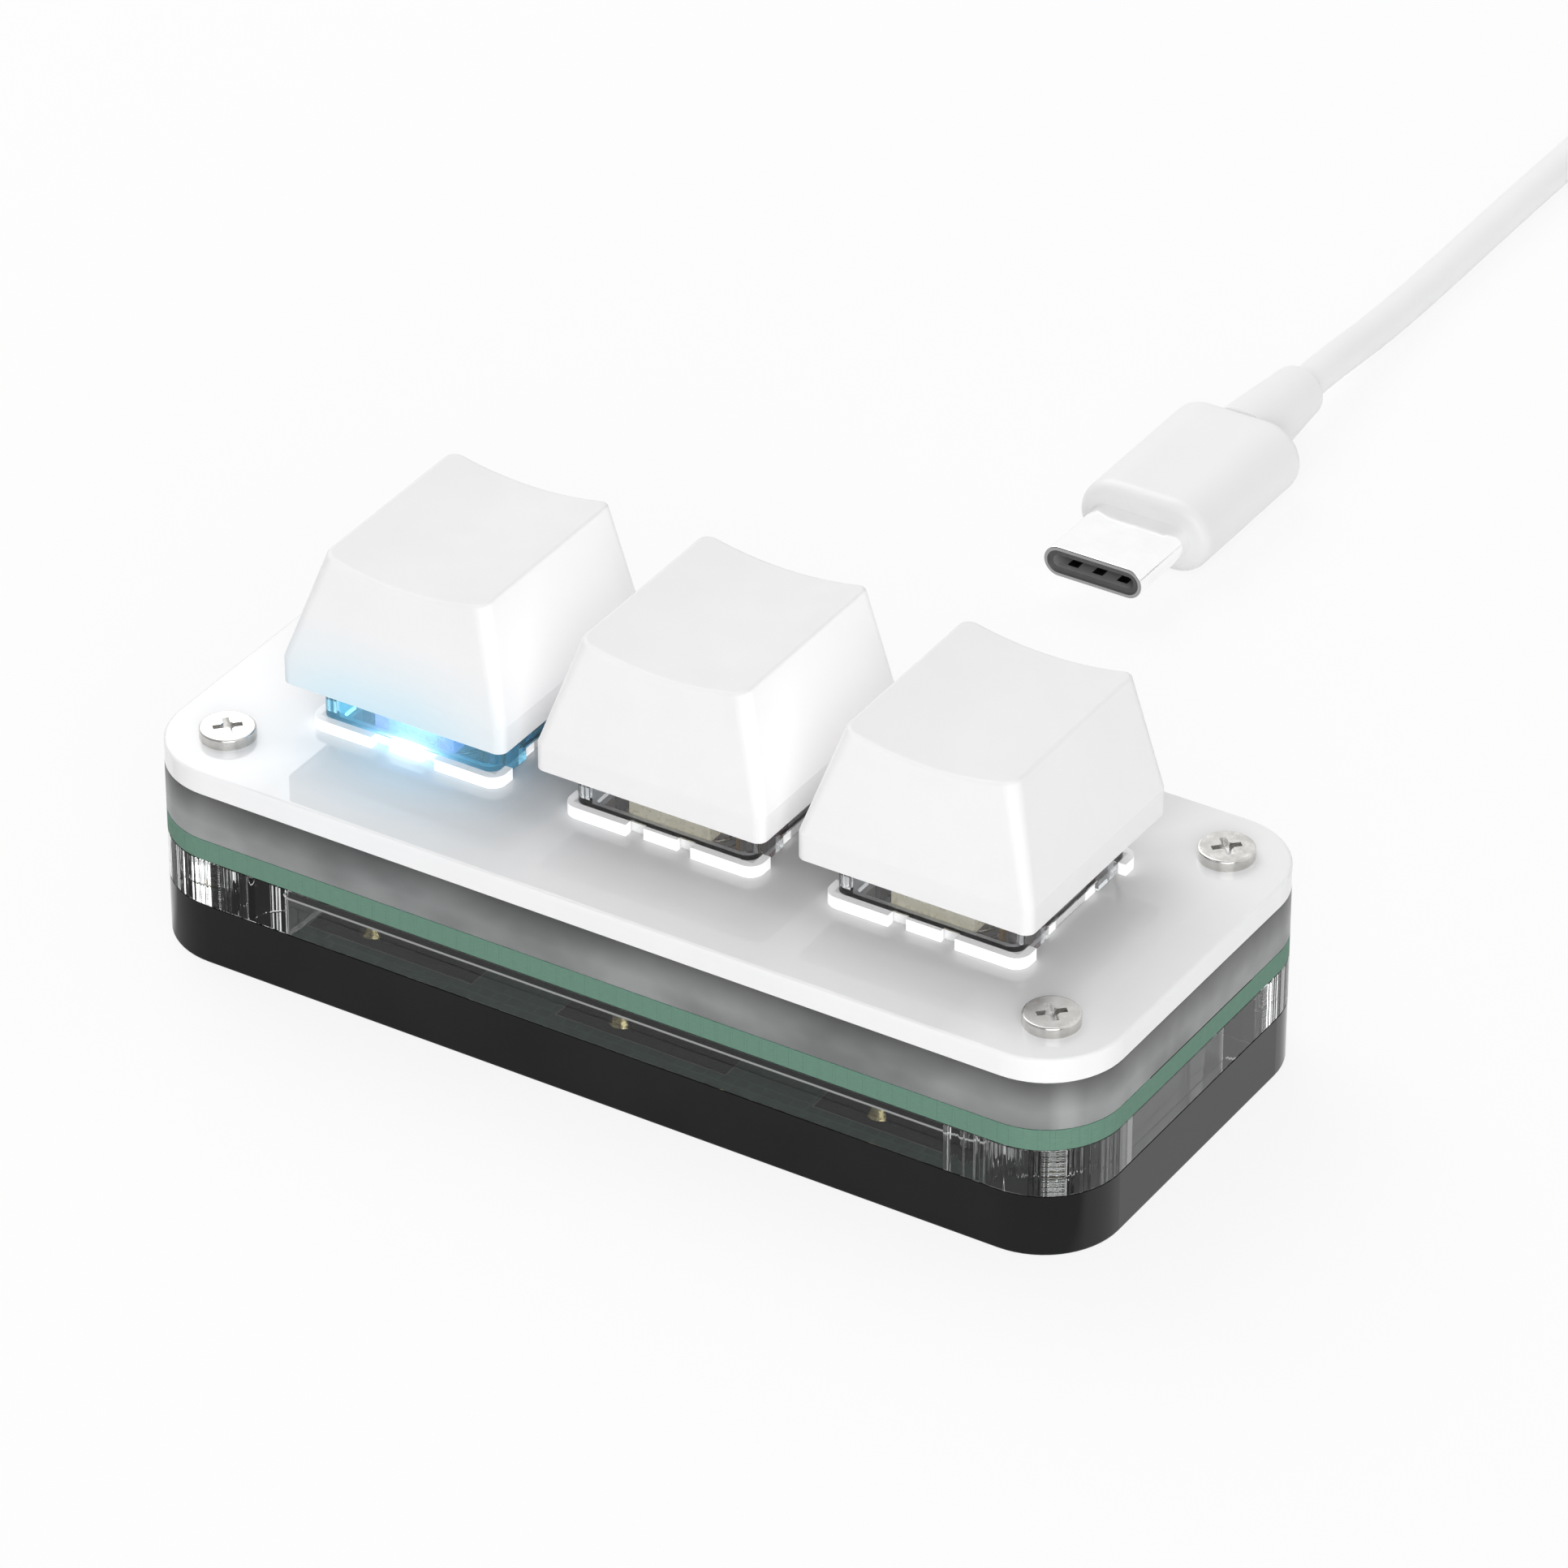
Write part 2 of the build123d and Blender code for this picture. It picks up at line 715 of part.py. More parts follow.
def usb_a_plug_shell():
    length = usb_a_body_front - usb_a_front
    middle = (usb_a_body_front + usb_a_front) / 2
    wall = 2 * usb_a_shell_wall
    shell = Pos(tail_x, middle, usb_a_z) * Box(usb_a_shell_width, length, usb_a_shell_height)
    shell = fillet(shell.edges().filter_by(Axis.Y), usb_a_shell_wall)
    shell -= Pos(tail_x, middle, usb_a_z) * Box(usb_a_shell_width - wall, length, usb_a_shell_height - wall)
    for side in (-1, 1):
        window = Box(usb_a_window, usb_a_window, usb_a_shell_height)
        shell -= Pos(tail_x + side * usb_a_window_offset, middle, usb_a_z) * window
    return shell


def usb_a_plug_tongue():
    wall = 2 * usb_a_shell_wall
    length = usb_a_body_front - usb_a_front - usb_c_insert_recess
    bottom = usb_a_z - usb_a_shell_height / 2 + usb_a_shell_wall
    return prism(
        usb_a_shell_width - wall, length, bottom, bottom + usb_a_tongue_thickness, 0,
        tail_x, usb_a_body_front - length / 2
    )


def usb_a_plug_body():
    middle = (usb_a_body_front + usb_a_body_back) / 2
    body = Pos(tail_x, middle, usb_a_z) * Box(usb_a_body_width, usb_a_body_length, usb_a_body_height)
    return fillet(body.edges(), usb_a_body_edge)


def usb_cable_coil():
    """Outer shape of the wound cable, with a flat seat where each straight run meets it."""
    height = coil_layers * cable_diameter
    outer = coil_mid_radius + coil_width / 2
    ring = disc(2 * outer, 0, height, coil_centre_x, coil_centre_y)
    ring -= disc(2 * (outer - coil_width), 0, height, coil_centre_x, coil_centre_y)
    seat = coil_centre_y - coil_seat_offset
    pocket_length = outer - coil_seat_offset
    pocket_width = 2 * cable_diameter
    reach = coil_outer_turn - cable_diameter / 2 - coil_seat_clearance + pocket_width / 2
    pocket_y = seat - pocket_length / 2
    ring -= prism(pocket_width, pocket_length, 0, cable_diameter, 0, coil_centre_x - reach, pocket_y)
    tail_bottom = usb_a_z - cable_diameter / 2
    ring -= prism(pocket_width, pocket_length, tail_bottom, height, 0, coil_centre_x + reach, pocket_y)
    return ring


cable_end = coil_centre_y - coil_seat_offset


def cable_route():
    """Points of the straight stretch from the plug's collar to the coil."""
    bend_y = cable_start + first_run + bend_run
    return [
        (plug_x, cable_start, usb_c_z),
        (plug_x, cable_start + first_run, usb_c_z),
        (plug_x + bend_shift, bend_y, cable_z),
        (plug_x + middle_shift, bend_y + middle_run, cable_z),
        (coil_entry_x, cable_end, cable_z),
    ]


def bend_radii(points):
    """The largest tangent arc that the two runs at each inner point allow."""
    radii = []
    for before, corner, after in zip(points, points[1:], points[2:]):
        run_in = Vector(*corner) - Vector(*before)
        run_out = Vector(*after) - Vector(*corner)
        half_turn = math.radians(run_in.get_angle(run_out) / 2)
        radii.append(arc_share * min(run_in.length, run_out.length) / math.tan(half_turn))
    return radii


def usb_cable():
    points = cable_route()
    radii = bend_radii(points)
    path = FilletPolyline(*points, radius=radii)
    section = Plane(origin=path @ 0, z_dir=path % 0) * Circle(cable_diameter / 2)
    tube = sweep(section, path=path)
    print("cable radii", [round(r, 1) for r in radii])
    print("cable volume", round(tube.volume, 2), "expected", round(section.area * path.length, 2))
    return tube


def usb_cable_tail():
    length = cable_end - usb_a_relief_back
    middle = (cable_end + usb_a_relief_back) / 2
    return Pos(tail_x, middle, usb_a_z) * Rot(90, 0, 0) * Cylinder(cable_diameter / 2, length)


# --- one file for each piece ---
export(base_plate(), "base_plate")
export(lower_spacer(), "lower_spacer")
export(circuit_board(), "circuit_board")
export(spacer(board_top, plate_bottom, upper_window_half_length), "upper_spacer")
export(top_plate(), "top_plate")
export(Compound([case_screw(x, y) for x, y in screw_places]), "case_screws")
export(Compound([threaded_insert(x, y) for x, y in screw_places]), "threaded_inserts")

key_pieces = {
    "switch_lower_housing": switch_lower_housing(),
    "switch_upper_housing": switch_upper_housing(),
    "switch_stem": switch_stem(),
    "switch_spring": switch_spring(),
    "switch_contacts": Compound(switch_contacts()),
    "key_lamp": key_lamp(),
    "light_guide": light_guide(),
    "keycap": keycap(),
}
for number, key_x in enumerate(key_centres, start=1):
    for node, piece in key_pieces.items():
        export(Pos(key_x, 0, 0) * piece, f"{node}_{number}")

joints = [Pos(x, 0, 0) * solder_joint(px, py) for x in key_centres for px, py in pin_places]
export(Compound(joints), "solder_joints")
export(usb_socket_shell(), "usb_socket_shell")
export(usb_socket_tongue(), "usb_socket_tongue")
export(microcontroller(), "microcontroller")
export(voltage_regulator(), "voltage_regulator")
export(Compound(chip_row(resistor_count, 0, resistor_y)), "chip_resistors")
export(Compound(chip_row(capacitor_count, controller_x, capacitor_y)), "chip_capacitors")

export(usb_cable(), "usb_cable")
export(usb_cable_coil(), "usb_cable_coil")
export(usb_cable_tail(), "usb_cable_tail")
export(usb_c_plug_shell(), "usb_c_plug_shell")
export(usb_c_plug_insert(), "usb_c_plug_insert")
export(usb_c_plug_body(), "usb_c_plug_body")
export(strain_relief(plug_x, usb_c_body_back, cable_start, usb_c_z), "usb_c_strain_relief")
export(usb_a_plug_shell(), "usb_a_plug_shell")
export(usb_a_plug_tongue(), "usb_a_plug_tongue")
export(usb_a_plug_body(), "usb_a_plug_body")
export(strain_relief(tail_x, usb_a_body_back, usb_a_relief_back, usb_a_z), "usb_a_strain_relief")
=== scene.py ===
"""Looks of the three-key macro pad.

Every CAD piece gets a material. The two acrylic rings, the springs and the loose cable are
replaced by finer shapes, and a floor, lamps and the camera are added.
"""

import math

import bmesh
import bpy
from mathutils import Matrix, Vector


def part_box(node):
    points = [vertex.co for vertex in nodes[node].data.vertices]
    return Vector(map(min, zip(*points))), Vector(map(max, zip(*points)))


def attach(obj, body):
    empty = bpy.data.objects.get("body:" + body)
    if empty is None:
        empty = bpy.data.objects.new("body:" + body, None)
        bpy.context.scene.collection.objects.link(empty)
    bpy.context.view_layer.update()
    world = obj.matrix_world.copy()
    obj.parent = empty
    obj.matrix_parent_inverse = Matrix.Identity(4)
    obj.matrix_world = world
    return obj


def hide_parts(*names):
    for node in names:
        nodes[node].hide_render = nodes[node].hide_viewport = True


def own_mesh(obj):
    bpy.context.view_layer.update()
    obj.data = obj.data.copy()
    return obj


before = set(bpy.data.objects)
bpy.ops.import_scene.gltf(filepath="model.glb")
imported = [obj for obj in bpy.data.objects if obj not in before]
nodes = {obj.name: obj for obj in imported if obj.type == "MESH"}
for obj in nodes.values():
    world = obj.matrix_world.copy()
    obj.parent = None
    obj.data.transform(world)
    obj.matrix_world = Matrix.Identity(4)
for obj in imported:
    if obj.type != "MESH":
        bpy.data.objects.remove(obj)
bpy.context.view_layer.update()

MM = 0.001
X, Y, Z = 0, 1, 2

# --- camera, in millimetres and degrees ---
CAMERA_TARGET = (4.99, 0.0, 18.4)
CAMERA_AZIMUTH = 31.927
CAMERA_ELEVATION = 32.978
CAMERA_DISTANCE = 593.9
CAMERA_LENS = 201.0
CAMERA_CLIP = (50.0, 5000.0)

# --- cable, in millimetres, with angles in degrees ---
CABLE_DIAMETER = 2.8
CABLE_ROUTE = [
    (-3.4, 88.0, 3.0),
    (-3.4, 91.7, 3.0),
    (-3.9, 103.7, 1.4),
    (-4.25, 126.2, 1.4),
    (-4.15, 146.0, 1.4),
]
CABLE_TAIL = [(36.25, 146.0, 4.2), (36.25, 136.0, 4.2)]
CABLE_RESOLUTION = 6
COIL_CENTRE = (16.05, 150.0)
COIL_TURNS = 7.5
COIL_LAYER_TURNS = 4
COIL_OUTER_TURN = 20.2
COIL_POINTS_PER_TURN = 24
COIL_START = 180.0
COIL_LEVELS = (1.4, 4.2)
COIL_OUTWARD_SHIFT = (355.0, 300.0)
COIL_CLIMB = (300.0, 255.0)
COIL_INWARD_SHIFT = (255.0, 205.0)

# --- spacer rings, in millimetres and degrees ---
CASE_CORNER_RADIUS = 5.9
CASE_CORNER_STEPS = 24
SCREW_INSET = 4.86
SCREW_HOLE_RADIUS = 1.1
SCREW_HOLE_STEPS = 48
SCREW_PLACE = (32.94, 11.64)
LOWER_WINDOW = (27.95, 9.4)
UPPER_WINDOW = (29.45, 9.4)
WINDOW_RADIUS = 0.6
WINDOW_CORNER_STEPS = 6
SOCKET_NOTCH_HALF_WIDTH = 4.87
RING_GAP = 0.02
RING_EDGE = 0.09
RING_SHARP_ANGLE = 18
RING_MERGE_DISTANCE = 1e-3

# --- keys, in millimetres ---
KEYS = (1, 2, 3)
MIDDLE_KEY = 2
KEY_PITCH = 20.8
KEY_ROW_OFFSET = -0.2
SPRING_BOTTOM = 12.0
SPRING_TOP = 20.8
SPRING_RADIUS = 2.06
SPRING_WIRE = 0.28
SPRING_TURNS = 11
SPRING_POINTS_PER_TURN = 20

# --- the lit key, in millimetres and watts ---
LIT_KEY = 1
GLOW_PLACE = (-21.0, -7.4, 17.0)
GLOW_COLOUR = (0.16, 0.66, 1.0)
KEY_LIGHT_SIZE = (4.0, 1.2)
KEY_LIGHT_POWER = 4e-5

# --- stretches over which a finish, with its painted light and shade, changes, in millimetres ---
MARKS_EDGE = 0.3  # on both sides of the lower window's lines
WINDOW_END_X = (28.0, 28.05)
PAINTED_GLOW_EDGE_MARGIN = 0.15
PAINTED_GLOW_EDGE_TOP = (7.5, 7.6)
FROST_SOLID_X = (28.5, 35.0)
FROST_SCREW_REFLECTION_COLUMN = (0.6, 1.8)
FROST_SHADE_Z = (11.6, 14.0)
PLATE_SHADE_EDGE = 6.0
PLATE_SHADE_BAND_HALF_Y = 20.0  # past the plate's front and back
PLATE_SHADE_BAND_EDGE = 1.8
SWITCH_FIELD = 7.0
SWITCH_FIELD_LINE = 0.15
SWITCH_FIELD_EDGE = 0.03
RECESS_RADIUS = (1.1, 1.2)
RECESS_TOP = (16.4, 16.55)
THREAD_TOP = (15.6, 15.8)
NOTCH_TOP = (0.40, 0.43)  # from the insert's lowest level
NOTCH_FRONT = (0.2, 0.3)  # from the insert's front
CAP_INNER_X = (18.0, 20.0)
CAP_PAINTED_LAMP_Z = (18.5, 25.5)
CAP_PAINTED_LAMP_Y = (-9.5, -6.0)
CAP_PAINTED_LAMP_SIDEWAYS = (3.0, 10.0)
FLANGE_RIM = (7.15, 7.25)
FLANGE_TAB_START = (1.9, 2.0)
FLANGE_TAB_END = (3.3, 3.4)
FLANGE_TAB_FACE = (6.85, 6.9)
HOUSING_PAINTED_LAMP_SIDEWAYS = (3.0, 4.6)
LENS_BOTTOM = (9.7, 9.78)

# --- stretches of a normal's share along an axis, which is 1 on a face across it ---
FACING = (0.6, 0.8)
PAST_UPRIGHT = (0.2, 0.3)
NEARLY_LEVEL = (0.95, 0.99)

# --- studio, in metres and degrees ---
FLOOR_HALF_SIZE = 2.5
FLOOR_GREY = (0.86, 0.86, 0.86)
FLOOR_SHADOW = 0.16
AMBIENT = 0.49
FRONT_SIDE = 0.41  # how bright the studio's front side is in mirror images
FRONT_SIDE_FLOOR_Y = (-15.0, -13.6)  # in millimetres
FRONT_SIDE_SKY_Y = (-0.45, -0.15)  # of a direction of length 1
LAMPS = [
    # name, azimuth, elevation, distance, size, level
    ("back_softbox", 240.0, 45.0, 0.8, 0.6, 0.38),
    ("front_softbox", 36.0, 20.0, 0.9, 0.7, 0.60),
]

BLACK = (0.0, 0.0, 0.0)
WHITE = (1.0, 1.0, 1.0)


def grey(level):
    return (level, level, level)


def millimetres(*values):
    return [v * MM for v in values]


def beside_glow(dx, dy, dz):
    """Place that far from the lit key's glow, in millimetres."""
    return tuple(place + off for place, off in zip(GLOW_PLACE, (dx, dy, dz)))


def linked(name, data):
    obj = bpy.data.objects.new(name, data)
    bpy.context.collection.objects.link(obj)
    return obj


def mesh_from(curve, name):
    """Mesh object of a curve object, which is deleted."""
    mesh = bpy.data.meshes.new_from_object(
        curve.evaluated_get(bpy.context.evaluated_depsgraph_get())
    )
    bpy.data.objects.remove(curve)
    return linked(name, mesh)


def smooth(obj):
    obj.data.polygons.foreach_set("use_smooth", [True] * len(obj.data.polygons))


def direction(azimuth, elevation):
    """Unit vector away from the part: azimuth 0 is the front and 90 the right, in degrees."""
    azimuth, elevation = math.radians(azimuth), math.radians(elevation)
    return Vector((
        math.sin(azimuth) * math.cos(elevation),
        -math.cos(azimuth) * math.cos(elevation),
        math.sin(elevation),
    ))


def aimed(away):
    """Rotation of a camera or lamp that looks back along a direction."""
    return (-away).to_track_quat("-Z", "Y").to_euler()


# ---------------------------------------------------------------- camera
def add_camera():
    away = direction(CAMERA_AZIMUTH, CAMERA_ELEVATION)
    data = bpy.data.cameras.new("camera")
    data.lens = CAMERA_LENS
    data.clip_start, data.clip_end = millimetres(*CAMERA_CLIP)
    camera = linked("camera", data)
    camera.location = Vector(millimetres(*CAMERA_TARGET)) + away * CAMERA_DISTANCE * MM
    camera.rotation_euler = aimed(away)
    bpy.context.scene.camera = camera


# ---------------------------------------------------------------- cable
def share(angle, span):
    """How far a clockwise walk has come through a span of angles, from 0 to 1."""
    start, end = span
    return min(max((start - angle) / (start - end), 0.0), 1.0)


def coil_points():
    """Two layers of turns: inwards on the floor, up at the inmost turn, and back outwards."""
    points = []
    # A quadratic curve runs inside its points, so they stand this much further out.
    swell = 8 / (6 + 2 * math.cos(2 * math.pi / COIL_POINTS_PER_TURN))
    lower, upper = COIL_LEVELS
    shift = upper - lower
    inmost = COIL_LAYER_TURNS - 1
    for step in range(int(COIL_TURNS * COIL_POINTS_PER_TURN) + 1):
        walked = 360.0 * step / COIL_POINTS_PER_TURN
        turns, into = divmod(walked + COIL_START, 360.0)
        angle = 360.0 - into
        if turns < COIL_LAYER_TURNS:
            lane = min(max(turns - 1 + share(angle, COIL_INWARD_SHIFT), 0.0), inmost)
            climbed = share(angle, COIL_CLIMB) if turns == inmost else 0.0
        else:
            turns_out = turns - COIL_LAYER_TURNS
            lane = inmost - max(turns_out - 1 + share(angle, COIL_OUTWARD_SHIFT), 0.0)
            climbed = 1.0
        radius = COIL_OUTER_TURN - shift * lane
        points.append((
            COIL_CENTRE[0] + radius * swell * math.cos(math.radians(angle)),
            COIL_CENTRE[1] + radius * swell * math.sin(math.radians(angle)),
            lower + shift * climbed,
        ))
    return points


def add_cable():
    points = CABLE_ROUTE + coil_points() + CABLE_TAIL
    curve = bpy.data.curves.new("usb_cable_flex", "CURVE")
    curve.dimensions = "3D"
    curve.bevel_depth = 1.0
    curve.bevel_resolution = CABLE_RESOLUTION
    curve.use_fill_caps = True
    spline = curve.splines.new("NURBS")
    spline.points.add(len(points) - 1)
    for point, place in zip(spline.points, points):
        point.co = (*millimetres(*place), 1.0)
        point.radius = CABLE_DIAMETER / 2 * MM
    spline.order_u = 3
    spline.use_endpoint_u = True
    spline.resolution_u = CABLE_RESOLUTION
    cable = linked("usb_cable_flex", curve)
    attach(cable, "case")
    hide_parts("usb_cable", "usb_cable_coil", "usb_cable_tail")
    return cable


add_camera()
cable = add_cable()


# ---------------------------------------------------------------- materials
class Finish:
    """A node material with one Principled shader, and short ways to give it detail.

    The plain colour and roughness hold where no detail is linked over them.
    """

    def __init__(self, name, colour, roughness, **sockets):
        self.material = bpy.data.materials.new(name)
        self.material.use_nodes = True
        self.tree = self.material.node_tree
        self.shader = self.tree.nodes["Principled BSDF"]
        self.shader.inputs["Base Color"].default_value = (*colour, 1)
        self.shader.inputs["Roughness"].default_value = roughness
        for socket, value in sockets.items():
            self.shader.inputs[socket.replace("_", " ")].default_value = value
        self.place = self.node("ShaderNodeTexCoord").outputs["Object"]

    def node(self, kind, **settings):
        node = self.tree.nodes.new(kind)
        for key, value in settings.items():
            setattr(node, key, value)
        return node

    def link(self, source, target):
        self.tree.links.new(source, target)

    def math(self, operation, *values):
        """Result of a math node on sockets and plain numbers."""
        node = self.node("ShaderNodeMath", operation=operation)
        for socket, value in zip(node.inputs, values):
            if isinstance(value, (int, float)):
                socket.default_value = value
            else:
                self.link(value, socket)
        return node.outputs[0]

    def product(self, first, *others):
        for other in others:
            first = self.math("MULTIPLY", first, other)
        return first

    def vector(self, operation, source, constant=None):
        node = self.node("ShaderNodeVectorMath", operation=operation)
        self.link(source, node.inputs[0])
        if constant is not None:
            node.inputs[1].default_value = constant
        return node.outputs

    def parts(self, vector):
        split = self.node("ShaderNodeSeparateXYZ")
        self.link(vector, split.inputs[0])
        return split.outputs

    def axis(self, number):
        """Place along an axis, in metres."""
        return self.parts(self.place)[number]

    def off(self, number, middle_mm=0.0):
        """Distance along an axis from a plane across it, in metres."""
        return self.math("ABSOLUTE", self.math("SUBTRACT", self.axis(number), middle_mm * MM))

    def slant(self, number):
        """1 on faces across an axis, 0 on faces along it, and between on slanted ones."""
        normal = self.node("ShaderNodeNewGeometry").outputs["Normal"]
        return self.math("ABSOLUTE", self.parts(normal)[number])

    def facing(self, number):
        """1 on faces across an axis and 0 on faces along it."""
        return self.spread(self.slant(number), 0, 1, *FACING)

    def noise(self, size_mm, detail=4.0, stretch=(1, 1, 1)):
        """Noise from 0 to 1 with blotches of about that size."""
        mapping = self.node("ShaderNodeMapping")
        mapping.inputs["Scale"].default_value = stretch
        self.link(self.place, mapping.inputs[0])
        noise = self.node("ShaderNodeTexNoise")
        noise.inputs["Scale"].default_value = 1 / (size_mm * MM)
        noise.inputs["Detail"].default_value = detail
        self.link(mapping.outputs[0], noise.inputs["Vector"])
        return noise.outputs[0]

    def spread(self, value, low, high, start=0.3, end=0.7):
        """From low at the start to high at the end, and held beyond them."""
        node = self.node("ShaderNodeMapRange")
        for socket, limit in zip(node.inputs[1:5], (start, end, low, high)):
            socket.default_value = limit
        self.link(value, node.inputs[0])
        return node.outputs[0]

    def rise(self, value, span_mm, low=0, high=1):
        return self.spread(value, low, high, *millimetres(*span_mm))

    def fall(self, value, span_mm, high=1, low=0):
        return self.spread(value, high, low, *millimetres(*span_mm))

    def blend(self, factor, a, b):
        """Colour between a and b, each a colour or a socket."""
        node = self.node("ShaderNodeMix", data_type="RGBA")
        self.link(factor, node.inputs["Factor"])
        for socket, value in ((node.inputs[6], a), (node.inputs[7], b)):
            if isinstance(value, tuple):
                socket.default_value = (*value, 1)
            else:
                self.link(value, socket)
        return node.outputs[2]

    def blotched(self, a, b, size_mm, detail=4.0, stretch=(1, 1, 1)):
        return self.blend(self.spread(self.noise(size_mm, detail, stretch), 0, 1), a, b)

    def colour(self, source):
        self.link(source, self.shader.inputs["Base Color"])
        return self

    def cloud(self, a, b, size_mm):
        return self.colour(self.blotched(a, b, size_mm))

    def wear(self, low, high, size_mm, stretch=(1, 1, 1)):
        """Roughness that varies over the surface."""
        varied = self.spread(self.noise(size_mm, 5.0, stretch), low, high)
        self.link(varied, self.shader.inputs["Roughness"])
        return self

    def bump(self, source, depth_mm):
        node = self.node("ShaderNodeBump")
        node.inputs["Strength"].default_value = 1.0
        node.inputs["Distance"].default_value = depth_mm * MM
        self.link(source, node.inputs["Height"])
        self.link(node.outputs[0], self.shader.inputs["Normal"])
        return self

    def grain(self, size_mm, depth_mm, detail=3.0, stretch=(1, 1, 1)):
        return self.bump(self.noise(size_mm, detail, stretch), depth_mm)

    def shine(self, light, strength=1.0):
        """Light of its own, of a colour that is plain or a socket."""
        if isinstance(light, tuple):
            self.shader.inputs["Emission Color"].default_value = (*light, 1)
        else:
            self.link(light, self.shader.inputs["Emission Color"])
        self.shader.inputs["Emission Strength"].default_value = strength
        return self

    def glow(self, centre_mm, radius_mm, strength, colour=GLOW_COLOUR, stretch=(1, 1, 1),
             core=0.0, rest=BLACK):
        """Light that fades away from a point of the surface to the rest of it.

        The core is the share of white at the point itself.
        """
        away = self.vector("SUBTRACT", self.place, millimetres(*centre_mm))[0]
        length = self.vector("LENGTH", self.vector("MULTIPLY", away, stretch)[0])["Value"]
        near = self.math("DIVIDE", length, radius_mm * MM)
        fade = self.math("EXPONENT", self.product(near, near, -1.0))
        tint = self.blend(self.math("MULTIPLY", fade, core), colour, WHITE)
        return self.shine(self.blend(fade, rest, tint), strength)


def box_mask(f, half_x_mm, half_y_mm, edge_mm, x=None):
    """1 inside an upright box around the Z axis, with soft edges.

    A distance given by the caller stands in for the one along X.
    """
    over_x = f.math("SUBTRACT", f.off(X) if x is None else x, half_x_mm * MM)
    over_y = f.math("SUBTRACT", f.off(Y), half_y_mm * MM)
    return f.fall(f.math("MAXIMUM", over_x, over_y), (-edge_mm, edge_mm))


def past_screw(f):
    """How far beyond the nearest case screw's axis a place lies, along X and Y."""
    return [f.math("SUBTRACT", f.off(axis), SCREW_PLACE[axis] * MM) for axis in (X, Y)]


def beside_key(f):
    """Distance along X from the middle of the nearest key."""
    shifted = f.math("ADD", f.axis(X), (KEY_PITCH / 2 - KEY_ROW_OFFSET) * MM)
    within = f.math("WRAP", shifted, KEY_PITCH * MM, 0.0)
    return f.math("ABSOLUTE", f.math("SUBTRACT", within, KEY_PITCH / 2 * MM))


def black_acrylic():
    f = Finish("black_acrylic", (0.008, 0.008, 0.009), 0.1, Specular_IOR_Level=0.33)
    f.cloud((0.006, 0.006, 0.0065), (0.010, 0.010, 0.0105), 9)
    return f.wear(0.06, 0.14, 3).grain(14, 0.02, 1.0)


def clear_acrylic():
    """Cut sheet, with upright cut marks on the corner blocks.

    The window's end walls are dim, and its broken lower edges carry a painted glow.
    """
    clear, dim = (0.90, 0.92, 0.915), (0.16, 0.164, 0.162)
    f = Finish("clear_acrylic", clear, 0.0, IOR=1.49, Transmission_Weight=1.0)
    window_end = f.product(f.facing(X), f.fall(f.off(X), WINDOW_END_X))
    f.colour(f.blend(window_end, clear, dim))
    f.link(f.spread(window_end, 1, 0.1, 0, 1), f.shader.inputs["Transmission Weight"])
    f.wear(0.0, 0.012, 6)

    up = f.slant(Z)
    # Painted glow: the slanted faces of the window's lower edges shine grey on their own.
    slanted = f.product(f.spread(up, 0, 1, *PAST_UPRIGHT), f.spread(up, 1, 0, *NEARLY_LEVEL))
    inner = box_mask(f, *(half + PAINTED_GLOW_EDGE_MARGIN for half in LOWER_WINDOW), 0.02)
    painted_edge_glow = f.product(slanted, inner, f.fall(f.axis(Z), PAINTED_GLOW_EDGE_TOP))
    f.shine(f.blend(painted_edge_glow, BLACK, grey(0.3)))

    block = f.product(*(
        f.rise(f.off(axis), (half - MARKS_EDGE, half + MARKS_EDGE), low=0.02)
        for axis, half in enumerate(LOWER_WINDOW)
    ))
    upright = f.spread(f.facing(Z), 1, 0, 0, 1)
    fine = f.noise(0.6, 1.5, (1, 1, 0))
    coarse = f.noise(2.2, 1.0, (1, 1, 0))
    marks = f.math("ADD", fine, f.product(coarse, 3.0))
    return f.bump(f.product(marks, block, upright), 0.2)


def frosted_acrylic():
    """Smoky acrylic with painted light and shade: darker at the windows than at the solid ends,
    a pale painted reflection of each screw, and painted shade right under the plate.
    """
    f = Finish("frosted_acrylic", (0.5, 0.52, 0.52), 0.4, IOR=1.45, Transmission_Weight=0.6)
    smoke = f.spread(f.noise(7, 3.0, (0.7, 1, 1)), 0, 1, 0.38, 0.64)
    thin = f.blend(smoke, (0.42, 0.43, 0.43), (0.72, 0.73, 0.73))
    thick = f.blend(smoke, (0.50, 0.51, 0.51), (0.80, 0.81, 0.81))
    # Painted shade: the walls beside the hollow windows are darker than the solid ends.
    body = f.blend(f.rise(f.off(X), FROST_SOLID_X, high=0.3), thin, thick)
    # Painted reflection: a pale strip on the diagonal through each screw.
    diagonal = f.math("ABSOLUTE", f.math("SUBTRACT", *past_screw(f)))
    painted_screw_reflection = f.fall(diagonal, FROST_SCREW_REFLECTION_COLUMN, high=0.6)
    low = f.blend(painted_screw_reflection, body, (0.95, 0.96, 0.96))
    # Painted shade: darker right under the plate.
    f.colour(f.blend(f.rise(f.axis(Z), FROST_SHADE_Z, high=0.75), low, grey(0.07)))
    return f.wear(0.32, 0.5, 4).grain(0.25, 0.01)


